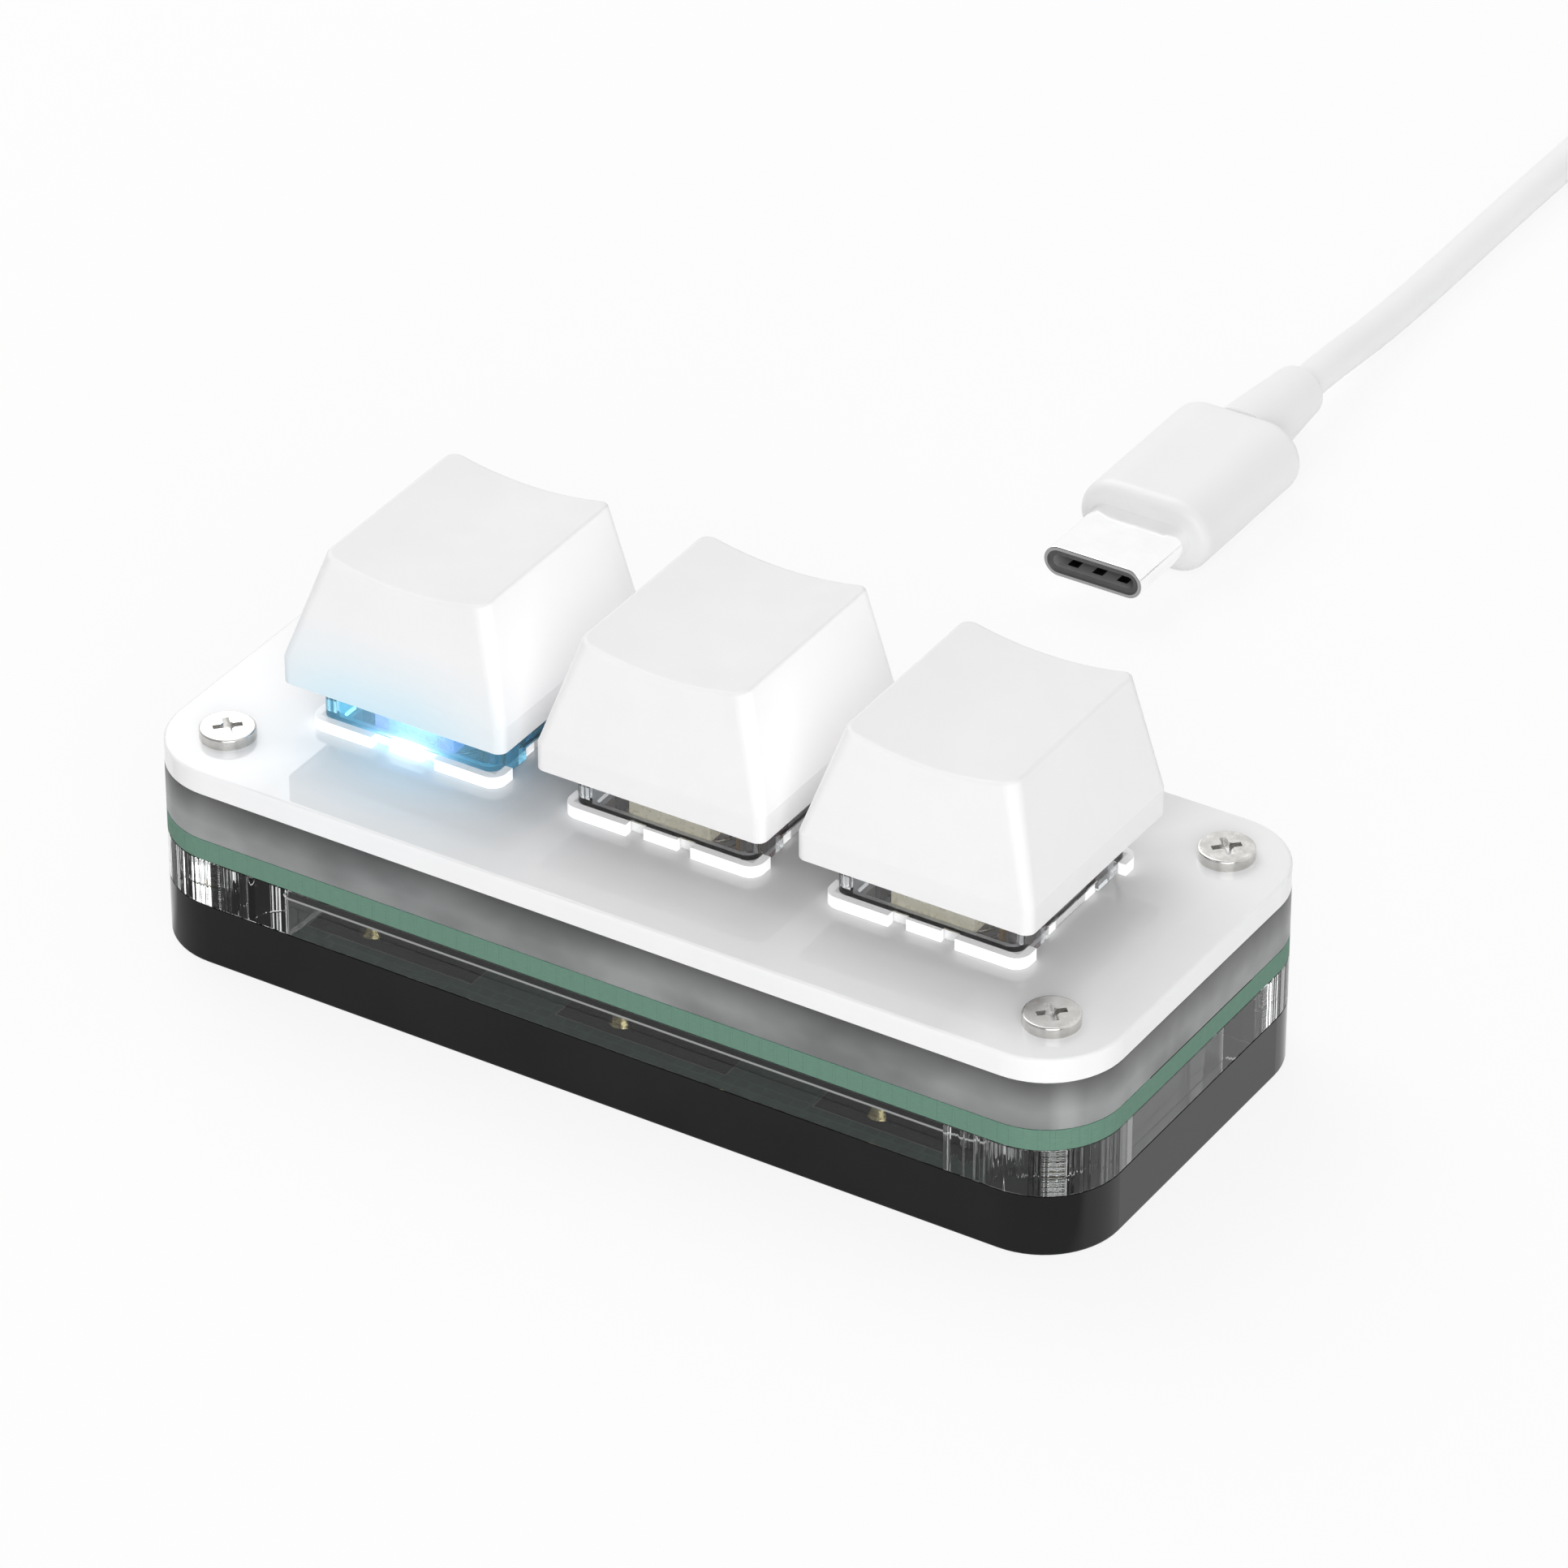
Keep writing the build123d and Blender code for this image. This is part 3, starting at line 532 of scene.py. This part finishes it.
def white_acrylic():
    """White sheet with painted shade: greyer over the hollow case than over its solid ends and
    across the key row, and painted lamp light in front of the lit key.
    """
    f = Finish("white_acrylic", (0.84, 0.84, 0.85), 0.1, IOR=1.49)
    half_x, half_y = UPPER_WINDOW[0] - 1, UPPER_WINDOW[1]
    # Painted shade: greyer over the hollow case and across the key row to the plate's front and
    # back, on the top face only.
    window = box_mask(f, half_x, half_y, PLATE_SHADE_EDGE)
    band = box_mask(f, half_x, PLATE_SHADE_BAND_HALF_Y, PLATE_SHADE_BAND_EDGE)
    shade = f.math("MAXIMUM", window, f.product(band, 0.4))
    body = f.blotched((0.94, 0.94, 0.945), (0.92, 0.92, 0.925), 8)
    f.colour(f.blend(f.product(shade, f.facing(Z)), body, (0.63, 0.63, 0.635)))
    # Painted lamp light: a pale cyan pool on the plate in front of the lit key.
    f.glow(beside_glow(0, -1.5, -1.2), 5.0, 0.16, stretch=(0.62, 1, 1))
    return f.wear(0.02, 0.05, 5).grain(11, 0.008, 1.0)


def board_green():
    """Green solder mask with fine tracks, a dark field under each key, and a paler cut edge."""
    f = Finish("board_green", (0.03, 0.09, 0.05), 0.35, Specular_IOR_Level=0.12)
    tracks = f.node("ShaderNodeTexBrick", offset=0.37, squash=0.6)
    for socket, value in (
        ("Scale", 260), ("Mortar Size", 0.03),
        ("Color1", (*BLACK, 1)), ("Color2", (*BLACK, 1)), ("Mortar", (*WHITE, 1)),
    ):
        tracks.inputs[socket].default_value = value
    f.link(f.place, tracks.inputs["Vector"])
    tracks = tracks.outputs["Color"]

    key_x = beside_key(f)
    field, inside_line = (
        box_mask(f, half, half, SWITCH_FIELD_EDGE, key_x)
        for half in (SWITCH_FIELD, SWITCH_FIELD - SWITCH_FIELD_LINE)
    )
    mask = f.blend(tracks, (0.19, 0.37, 0.30), (0.24, 0.45, 0.37))
    mask = f.blend(field, mask, (0.02, 0.018, 0.017))
    mask = f.blend(f.math("SUBTRACT", field, inside_line), mask, (0.5, 0.52, 0.5))
    fibre = f.blotched((0.13, 0.245, 0.185), (0.155, 0.28, 0.215), 0.5, 6.0, (1, 1, 9))
    up = f.facing(Z)
    f.colour(f.blend(up, fibre, mask))
    f.link(f.spread(up, 0.6, 0.25, 0, 1), f.shader.inputs["Roughness"])
    return f.bump(tracks, 0.02)


def screw_nickel():
    """Bright plating with painted shade in the head's recess, and a thread on the shank."""
    f = Finish("screw_nickel", (0.66, 0.65, 0.63), 0.2, Metallic=1.0)
    plating = f.blotched((0.56, 0.55, 0.53), (0.70, 0.69, 0.67), 0.8)
    from_axis = f.math("SQRT", f.math("ADD", *(f.product(v, v) for v in past_screw(f))))
    # Painted shade: the head's recess is darker.
    recess = f.product(f.fall(from_axis, RECESS_RADIUS), f.fall(f.axis(Z), RECESS_TOP))
    f.colour(f.blend(recess, plating, (0.50, 0.497, 0.49)))
    f.wear(0.12, 0.3, 0.4)
    thread = f.node("ShaderNodeTexWave", bands_direction="Z")
    thread.inputs["Scale"].default_value = 780
    f.link(f.place, thread.inputs["Vector"])
    return f.bump(f.product(thread.outputs["Fac"], f.fall(f.axis(Z), THREAD_TOP)), 0.25)


def brass(name, tint):
    f = Finish(name, tint, 0.25, Metallic=1.0)
    f.cloud(tint, tuple(v * 0.8 for v in tint), 0.6)
    return f.wear(0.18, 0.38, 0.5).grain(0.2, 0.01)


def solder():
    f = Finish("solder", (0.5, 0.44, 0.28), 0.2, Metallic=1.0)
    f.cloud((0.34, 0.29, 0.16), (0.2, 0.17, 0.09), 0.3)
    return f.wear(0.12, 0.35, 0.3).grain(0.35, 0.03)


def connector_steel():
    """Bright drawn steel with darker cut rims."""
    f = Finish("connector_steel", (0.95, 0.95, 0.96), 0.08, Metallic=1.0)
    drawn = f.blotched((0.94, 0.94, 0.95), (0.98, 0.98, 0.985), 2)
    f.colour(f.blend(f.facing(Y), drawn, (0.34, 0.34, 0.342)))
    return f.wear(0.05, 0.14, 1.2, (1, 0.1, 1)).grain(0.5, 0.002, stretch=(1, 0.05, 1))


def black_nylon():
    """Darker on faces across Y than on the walls along it, and painted shade in black in the
    insert's floor notches.
    """
    f = Finish("black_nylon", (0.19, 0.19, 0.192), 0.45)
    _, front, bottom = (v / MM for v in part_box("usb_c_plug_insert")[0])
    inside = f.blotched((0.32, 0.32, 0.322), (0.36, 0.36, 0.362), 0.7)
    faces = f.blotched((0.065, 0.065, 0.066), (0.085, 0.085, 0.086), 0.7)
    # Painted shade: black in the insert's floor notches.
    notch = f.product(
        f.fall(f.axis(Z), (bottom + v for v in NOTCH_TOP)),
        f.rise(f.axis(Y), (front + v for v in NOTCH_FRONT)),
    )
    f.colour(f.blend(notch, f.blend(f.facing(Y), inside, faces), grey(0.004)))
    return f.wear(0.35, 0.55, 0.5).grain(0.12, 0.006)


def chip(name, a, b):
    f = Finish(name, a, 0.5)
    f.cloud(a, b, 0.4)
    return f.wear(0.4, 0.6, 0.3).grain(0.08, 0.006)


def soft_white(name, a, b, roughness, size_mm, depth_mm):
    """Moulded white plastic or rubber with a fine skin."""
    f = Finish(name, grey(a), roughness)
    f.cloud(grey(a), grey(b), 6)
    return f.wear(roughness - 0.06, roughness + 0.06, 2).grain(size_mm, depth_mm)


def cap_white(name, lit=False):
    """White caps with painted light on their sides between the keys, and painted bluish lamp
    light on the lower front if lit.
    """
    f = Finish(name, (0.92, 0.913, 0.917), 0.5)
    white = f.blotched((0.915, 0.907, 0.912), (0.93, 0.925, 0.928), 5)
    # Painted light: the sides facing a neighbouring cap glow a little.
    between = f.product(f.facing(X), f.fall(f.off(X), CAP_INNER_X, low=0.2))
    painted_side_light = f.blend(between, BLACK, grey(0.1))
    if lit:
        # Painted lamp light: the lit cap's lower front is coloured bluish and glows cyan.
        tinted = f.product(
            f.fall(f.axis(Z), CAP_PAINTED_LAMP_Z), f.fall(f.axis(Y), CAP_PAINTED_LAMP_Y),
            f.fall(f.off(X, GLOW_PLACE[X] - 1), CAP_PAINTED_LAMP_SIDEWAYS, low=0.3),
        )
        f.colour(f.blend(tinted, white, (0.58, 0.82, 0.93)))
        soft = tuple(0.04 * v for v in GLOW_COLOUR)
        f.glow(beside_glow(0, -2, 1.5), 6.0, 1.0, soft, (0.55, 1, 1), rest=painted_side_light)
    else:
        f.colour(white).shine(painted_side_light)
    return f.wear(0.42, 0.56, 1.5).grain(0.16, 0.006)


def switch_milky(name, lit=False):
    """Translucent nylon with painted shade on its top faces, a painted glow on the upright
    faces of its rim, and painted lamp light around the lamp if lit.
    """
    f = Finish(name, (0.93, 0.93, 0.935), 0.25)
    side = f.blotched((0.92, 0.92, 0.925), (0.95, 0.95, 0.955), 3)
    up = f.facing(Z)
    # Painted shade: the top faces are greyer.
    f.colour(f.blend(up, side, (0.80, 0.80, 0.81)))
    f.wear(0.2, 0.32, 1.0).grain(0.4, 0.004)
    off_x, off_y = beside_key(f), f.off(Y)
    rim = f.rise(f.math("MAXIMUM", off_x, off_y), FLANGE_RIM)
    tab = f.product(
        f.rise(off_y, FLANGE_TAB_START), f.fall(off_y, FLANGE_TAB_END),
        f.rise(off_x, FLANGE_TAB_FACE),
    )
    # Painted glow: the rim's upright faces shine on their own.
    edge = f.product(f.math("MAXIMUM", rim, tab), f.spread(up, 1, 0.5, 0, 1))
    strength = 1.3 if lit else 1.0
    painted_rim_glow = f.blend(edge, BLACK, grey(0.4 / strength))
    # Painted lamp light: a white-cyan glow around the lamp.
    if lit:
        return f.glow(GLOW_PLACE, 1.4, strength, stretch=(0.6, 1, 1), core=1.0, rest=painted_rim_glow)
    return f.shine(painted_rim_glow, strength)


def switch_clear(name, lit=False):
    """Clear plastic, with painted cyan lamp light in its colour and a painted glow if lit."""
    plain = (0.50, 0.84, 0.97) if lit else (0.93, 0.95, 0.96)
    f = Finish(name, plain, 0.01, IOR=1.58, Transmission_Weight=1.0)
    if lit:
        # Painted lamp light: cyan away from the lamp and paler over it, with a painted glow.
        tint = f.rise(f.off(X, GLOW_PLACE[X]), HOUSING_PAINTED_LAMP_SIDEWAYS)
        f.colour(f.blend(tint, (0.80, 0.86, 0.97), (0.42, 0.82, 0.97)))
        f.glow(GLOW_PLACE, 4.0, 0.2, stretch=(0.55, 1, 1), core=0.3)
    return f.wear(0.0, 0.015, 1.0).grain(1.2, 0.006, 2.0)


def stem_red():
    f = Finish("stem_red", (0.35, 0.012, 0.02), 0.3)
    f.cloud((0.30, 0.010, 0.016), (0.42, 0.016, 0.026), 1.5)
    return f.wear(0.22, 0.4, 0.6).grain(0.2, 0.006)


def spring_steel():
    f = Finish("spring_steel", (0.75, 0.72, 0.66), 0.25, Metallic=1.0)
    f.cloud((0.78, 0.75, 0.68), (0.62, 0.59, 0.53), 0.5)
    return f.wear(0.18, 0.35, 0.3)


def lamp(name, lit=False):
    """Lens in the board's opening, on a dark body below the board."""
    f = Finish(name, (0.9, 0.9, 0.82), 0.2)
    lens = f.blotched((0.92, 0.92, 0.84), (0.8, 0.8, 0.7), 0.6)
    below = f.fall(f.axis(Z), LENS_BOTTOM)
    f.colour(f.blend(below, lens, (0.02, 0.02, 0.022)))
    if lit:
        f.shine(f.blend(below, GLOW_COLOUR, BLACK), 6.0)
    return f.wear(0.15, 0.3, 0.4)


def guide(name, lit=False):
    """Translucent cream bar with a painted glow; if lit, painted bluish lamp light in its
    colour and a brighter painted glow near the lamp.
    """
    f = Finish(name, (0.82, 0.78, 0.64), 0.3, IOR=1.5, Transmission_Weight=0.15)
    if lit:
        # Painted lamp light: bluish colour and a glow near the lamp.
        f.cloud((0.50, 0.50, 0.66), (0.42, 0.42, 0.58), 2.5)
        f.glow(beside_glow(-0.8, 2.2, -1.8), 1.2, 1.5, core=1.0, rest=(0.06, 0.08, 0.20))
    else:
        f.cloud((0.88, 0.85, 0.74), (0.78, 0.73, 0.58), 2.5)
        # Painted glow: the unlit bar shines faintly cream.
        f.shine((0.9, 0.84, 0.66), 0.12)
    return f.wear(0.2, 0.4, 0.5).grain(1.2, 0.01)


finishes = {
    "base_plate": black_acrylic(),
    "circuit_board": board_green(),
    "top_plate": white_acrylic(),
    "case_screws": screw_nickel(),
    "threaded_inserts": brass("brass_insert", (0.75, 0.55, 0.28)),
    "solder_joints": solder(),
    "usb_socket_shell": connector_steel(),
    "usb_socket_tongue": black_nylon(),
    "microcontroller": chip("chip_black", (0.03, 0.03, 0.034), (0.05, 0.05, 0.054)),
    "chip_capacitors": chip("chip_tan", (0.5, 0.36, 0.24), (0.4, 0.27, 0.17)),
    "usb_c_plug_body": soft_white("plug_white", 0.965, 0.98, 0.34, 0.3, 0.003),
    "usb_c_strain_relief": soft_white("relief_white", 0.97, 0.99, 0.45, 0.3, 0.003),
}
SAME_FINISH = {
    "microcontroller": ("voltage_regulator", "chip_resistors"),
    "usb_socket_shell": ("usb_c_plug_shell", "usb_a_plug_shell"),
    "usb_socket_tongue": ("usb_c_plug_insert",),
    "usb_c_plug_body": ("usb_a_plug_body", "usb_a_plug_tongue"),
    "usb_c_strain_relief": ("usb_a_strain_relief",),
}
for first, others in SAME_FINISH.items():
    for other in others:
        finishes[other] = finishes[first]

plain_key = {
    "keycap": cap_white("cap_white"),
    "switch_lower_housing": switch_milky("switch_milky"),
    "switch_upper_housing": switch_clear("switch_clear"),
    "switch_stem": stem_red(),
    "switch_contacts": brass("contact_brass", (0.85, 0.62, 0.3)),
    "key_lamp": lamp("lamp_off"),
    "light_guide": guide("guide_cream"),
}
lit_key = {
    **plain_key,
    "keycap": cap_white("cap_white_lit", lit=True),
    "switch_lower_housing": switch_milky("switch_milky_lit", lit=True),
    "switch_upper_housing": switch_clear("switch_clear_lit", lit=True),
    "key_lamp": lamp("lamp_lit", lit=True),
    "light_guide": guide("guide_cream_lit", lit=True),
}
for number in KEYS:
    for kind, finish in (lit_key if number == LIT_KEY else plain_key).items():
        finishes[f"{kind}_{number}"] = finish


def dress(obj, finish):
    obj.data.materials.clear()
    obj.data.materials.append(finish.material)


for name, finish in finishes.items():
    for place in nodes[name].material_slots:
        place.material = finish.material
dress(cable, soft_white("cable_white", 0.97, 0.99, 0.42, 0.4, 0.004))


# ---------------------------------------------------------------- spacer rings
def corner(x, y, radius, start, steps):
    """Points of a quarter round, anticlockwise from the start angle."""
    for step in range(steps + 1):
        angle = math.radians(start + 90 * step / steps)
        yield x + radius * math.cos(angle), y + radius * math.sin(angle)


def rounded(half_x, half_y, radius, steps):
    inner_x, inner_y = half_x - radius, half_y - radius
    for sx, sy, start in ((1, 1, 0), (-1, 1, 90), (-1, -1, 180), (1, -1, 270)):
        yield from corner(sx * inner_x, sy * inner_y, radius, start, steps)


def circle(x, y, radius, steps):
    for step in range(steps):
        angle = 2 * math.pi * step / steps
        yield x + radius * math.cos(angle), y + radius * math.sin(angle)


def notched(outer, inner, half_y, window_half_y):
    """Outline of a ring that a notch opens at the back, as one closed line.

    Both lines start at their first corner, so the notch lies after their first quarter.
    """
    first, second = len(outer) // 4, len(inner) // 4
    notch = SOCKET_NOTCH_HALF_WIDTH
    return (
        [(-notch, half_y)] + outer[first:] + outer[:first]
        + [(notch, half_y), (notch, window_half_y)]
        + (inner[second:] + inner[:second])[::-1] + [(-notch, window_half_y)]
    )


def slab(name, loops, bottom, top):
    """Sheet with holes between two levels, its sharp edges just broken."""
    middle = (bottom + top) / 2 * MM
    curve = bpy.data.curves.new(name, "CURVE")
    curve.dimensions = "2D"
    curve.fill_mode = "BOTH"
    curve.extrude = ((top - bottom) / 2 - RING_EDGE) * MM
    curve.bevel_depth = RING_EDGE * MM
    curve.bevel_resolution = 1
    curve.offset = -RING_EDGE * MM
    for loop in loops:
        spline = curve.splines.new("POLY")
        spline.points.add(len(loop) - 1)
        for point, (x, y) in zip(spline.points, loop):
            point.co = (*millimetres(x, y, 0), 1)
        spline.use_cyclic_u = True
    obj = mesh_from(linked(name + "_outline", curve), name)
    for vertex in obj.data.vertices:
        vertex.co.z += middle
    bm = bmesh.new()
    bm.from_mesh(obj.data)
    bmesh.ops.remove_doubles(bm, verts=bm.verts, dist=RING_MERGE_DISTANCE * MM)
    bmesh.ops.recalc_face_normals(bm, faces=bm.faces)
    bm.to_mesh(obj.data)
    bm.free()
    smooth(obj)
    obj.data.set_sharp_from_angle(angle=math.radians(RING_SHARP_ANGLE))
    return obj


def add_ring(node, finish, window, has_notch):
    low, high = ([v / MM for v in corner_place] for corner_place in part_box(node))
    half_x, half_y = high[:2]
    outer = list(rounded(half_x, half_y, CASE_CORNER_RADIUS, CASE_CORNER_STEPS))
    inner = list(rounded(*window, WINDOW_RADIUS, WINDOW_CORNER_STEPS))
    holes = [
        list(circle(
            sx * (half_x - SCREW_INSET), sy * (half_y - SCREW_INSET),
            SCREW_HOLE_RADIUS, SCREW_HOLE_STEPS,
        ))
        for sx in (-1, 1) for sy in (-1, 1)
    ]
    lines = [notched(outer, inner, half_y, window[Y])] if has_notch else [outer, inner]
    ring = slab(node + "_ring", lines + holes, low[Z] + RING_GAP, high[Z] - RING_GAP)
    dress(ring, finish)
    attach(ring, "case")
    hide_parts(node)


add_ring("lower_spacer", clear_acrylic(), LOWER_WINDOW, True)
add_ring("upper_spacer", frosted_acrylic(), UPPER_WINDOW, False)


# ---------------------------------------------------------------- springs
def add_spring(number, finish):
    x = KEY_ROW_OFFSET + KEY_PITCH * (number - MIDDLE_KEY)
    curve = bpy.data.curves.new(f"spring_wire_{number}", "CURVE")
    curve.dimensions = "3D"
    curve.bevel_depth = SPRING_WIRE / 2 * MM
    curve.bevel_resolution = 2
    spline = curve.splines.new("POLY")
    steps = SPRING_TURNS * SPRING_POINTS_PER_TURN
    spline.points.add(steps)
    low, high = SPRING_BOTTOM + SPRING_WIRE / 2, SPRING_TOP - SPRING_WIRE / 2
    for step, point in enumerate(spline.points):
        angle = 2 * math.pi * SPRING_TURNS * step / steps
        place = (
            x + SPRING_RADIUS * math.cos(angle),
            SPRING_RADIUS * math.sin(angle),
            low + (high - low) * step / steps,
        )
        point.co = (*millimetres(*place), 1)
    spring = mesh_from(linked(f"spring_wire_{number}", curve), f"key_spring_{number}")
    smooth(spring)
    dress(spring, finish)
    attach(spring, "case")
    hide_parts(f"switch_spring_{number}")
    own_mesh(spring)


spring_finish = spring_steel()
for number in KEYS:
    add_spring(number, spring_finish)


# ---------------------------------------------------------------- floor, lamps and world
def ray_is(tree, *rays):
    """1 for rays of the named kinds."""
    path = tree.nodes.new("ShaderNodeLightPath")
    first, *others = (path.outputs[ray] for ray in rays)
    for other in others:
        either = tree.nodes.new("ShaderNodeMath")
        either.operation = "MAXIMUM"
        tree.links.new(first, either.inputs[0])
        tree.links.new(other, either.inputs[1])
        first = either.outputs[0]
    return first


def map_range(tree, value, **limits):
    """Map Range node, each limit a number or a socket."""
    node = tree.nodes.new("ShaderNodeMapRange")
    tree.links.new(value, node.inputs[0])
    for key, limit in limits.items():
        socket = node.inputs[key.replace("_", " ").title()]
        if isinstance(limit, (int, float)):
            socket.default_value = limit
        else:
            tree.links.new(limit, socket)
    return node.outputs[0]


def add_world():
    """Plain light for the surfaces, a darker front side in mirror images, white if seen."""
    world = bpy.data.worlds.new("studio")
    world.use_nodes = True
    bpy.context.scene.world = world
    tree = world.node_tree
    background = tree.nodes["Background"]
    background.inputs["Color"].default_value = (*WHITE, 1)
    split = tree.nodes.new("ShaderNodeSeparateXYZ")
    tree.links.new(tree.nodes.new("ShaderNodeTexCoord").outputs["Generated"], split.inputs[0])
    front, back = FRONT_SIDE_SKY_Y
    side = map_range(
        tree, split.outputs[Y], from_min=front, from_max=back, to_min=FRONT_SIDE, to_max=1.0,
    )
    mirrored = ray_is(tree, "Is Glossy Ray", "Is Transmission Ray")
    level = map_range(tree, mirrored, to_min=AMBIENT, to_max=side)
    level = map_range(tree, ray_is(tree, "Is Camera Ray"), to_min=level, to_max=1.0)
    tree.links.new(level, background.inputs["Strength"])


def add_floor():
    """White where it is seen or mirrored, with a soft shadow and a darker front side."""
    mesh = bpy.data.meshes.new("studio_floor")
    bm = bmesh.new()
    bmesh.ops.create_grid(bm, x_segments=4, y_segments=4, size=FLOOR_HALF_SIZE)
    bm.to_mesh(mesh)
    bm.free()
    floor = linked("studio_floor", mesh)
    f = Finish("studio_floor", FLOOR_GREY, 0.6, Specular_IOR_Level=0.0)
    seen = ray_is(f.tree, "Is Camera Ray", "Is Glossy Ray", "Is Transmission Ray")
    f.colour(f.blend(seen, FLOOR_GREY, WHITE))
    behind = f.rise(f.axis(Y), FRONT_SIDE_FLOOR_Y)
    white = f.math("MAXIMUM", behind, ray_is(f.tree, "Is Camera Ray"))
    own_light = f.node("ShaderNodeEmission")
    f.link(f.blend(white, grey(FRONT_SIDE), WHITE), own_light.inputs["Color"])
    mixed = f.node("ShaderNodeMixShader")
    for source, socket in zip(
        (f.product(seen, 1 - FLOOR_SHADOW), f.shader.outputs[0], own_light.outputs[0]),
        mixed.inputs,
    ):
        f.link(source, socket)
    f.link(mixed.outputs[0], f.tree.nodes["Material Output"].inputs["Surface"])
    dress(floor, f)


def add_lamp(name, azimuth, elevation, distance, size, level):
    """Square soft lamp that gives a surface facing it that share of its written colour."""
    away = direction(azimuth, elevation)
    light = bpy.data.lights.new(name, "AREA")
    light.size = size
    light.energy = level * (math.pi * distance) ** 2
    softbox = linked(name, light)
    softbox.location = away * distance
    softbox.rotation_euler = aimed(away)


def add_key_light():
    """The lit key's lamp, which spills onto the plate in front of it."""
    light = bpy.data.lights.new("key_light", "AREA")
    light.shape = "RECTANGLE"
    light.size, light.size_y = millimetres(*KEY_LIGHT_SIZE)
    light.color = GLOW_COLOUR
    light.energy = KEY_LIGHT_POWER
    spill = linked("key_light", light)
    spill.location = millimetres(*beside_glow(0, -0.55, 0.3))
    spill.rotation_euler = (math.radians(90), 0, 0)


add_world()
add_floor()
for row in LAMPS:
    add_lamp(*row)
add_key_light()

bpy.context.scene.view_settings.view_transform = "Standard"

bpy.context.view_layer.update()
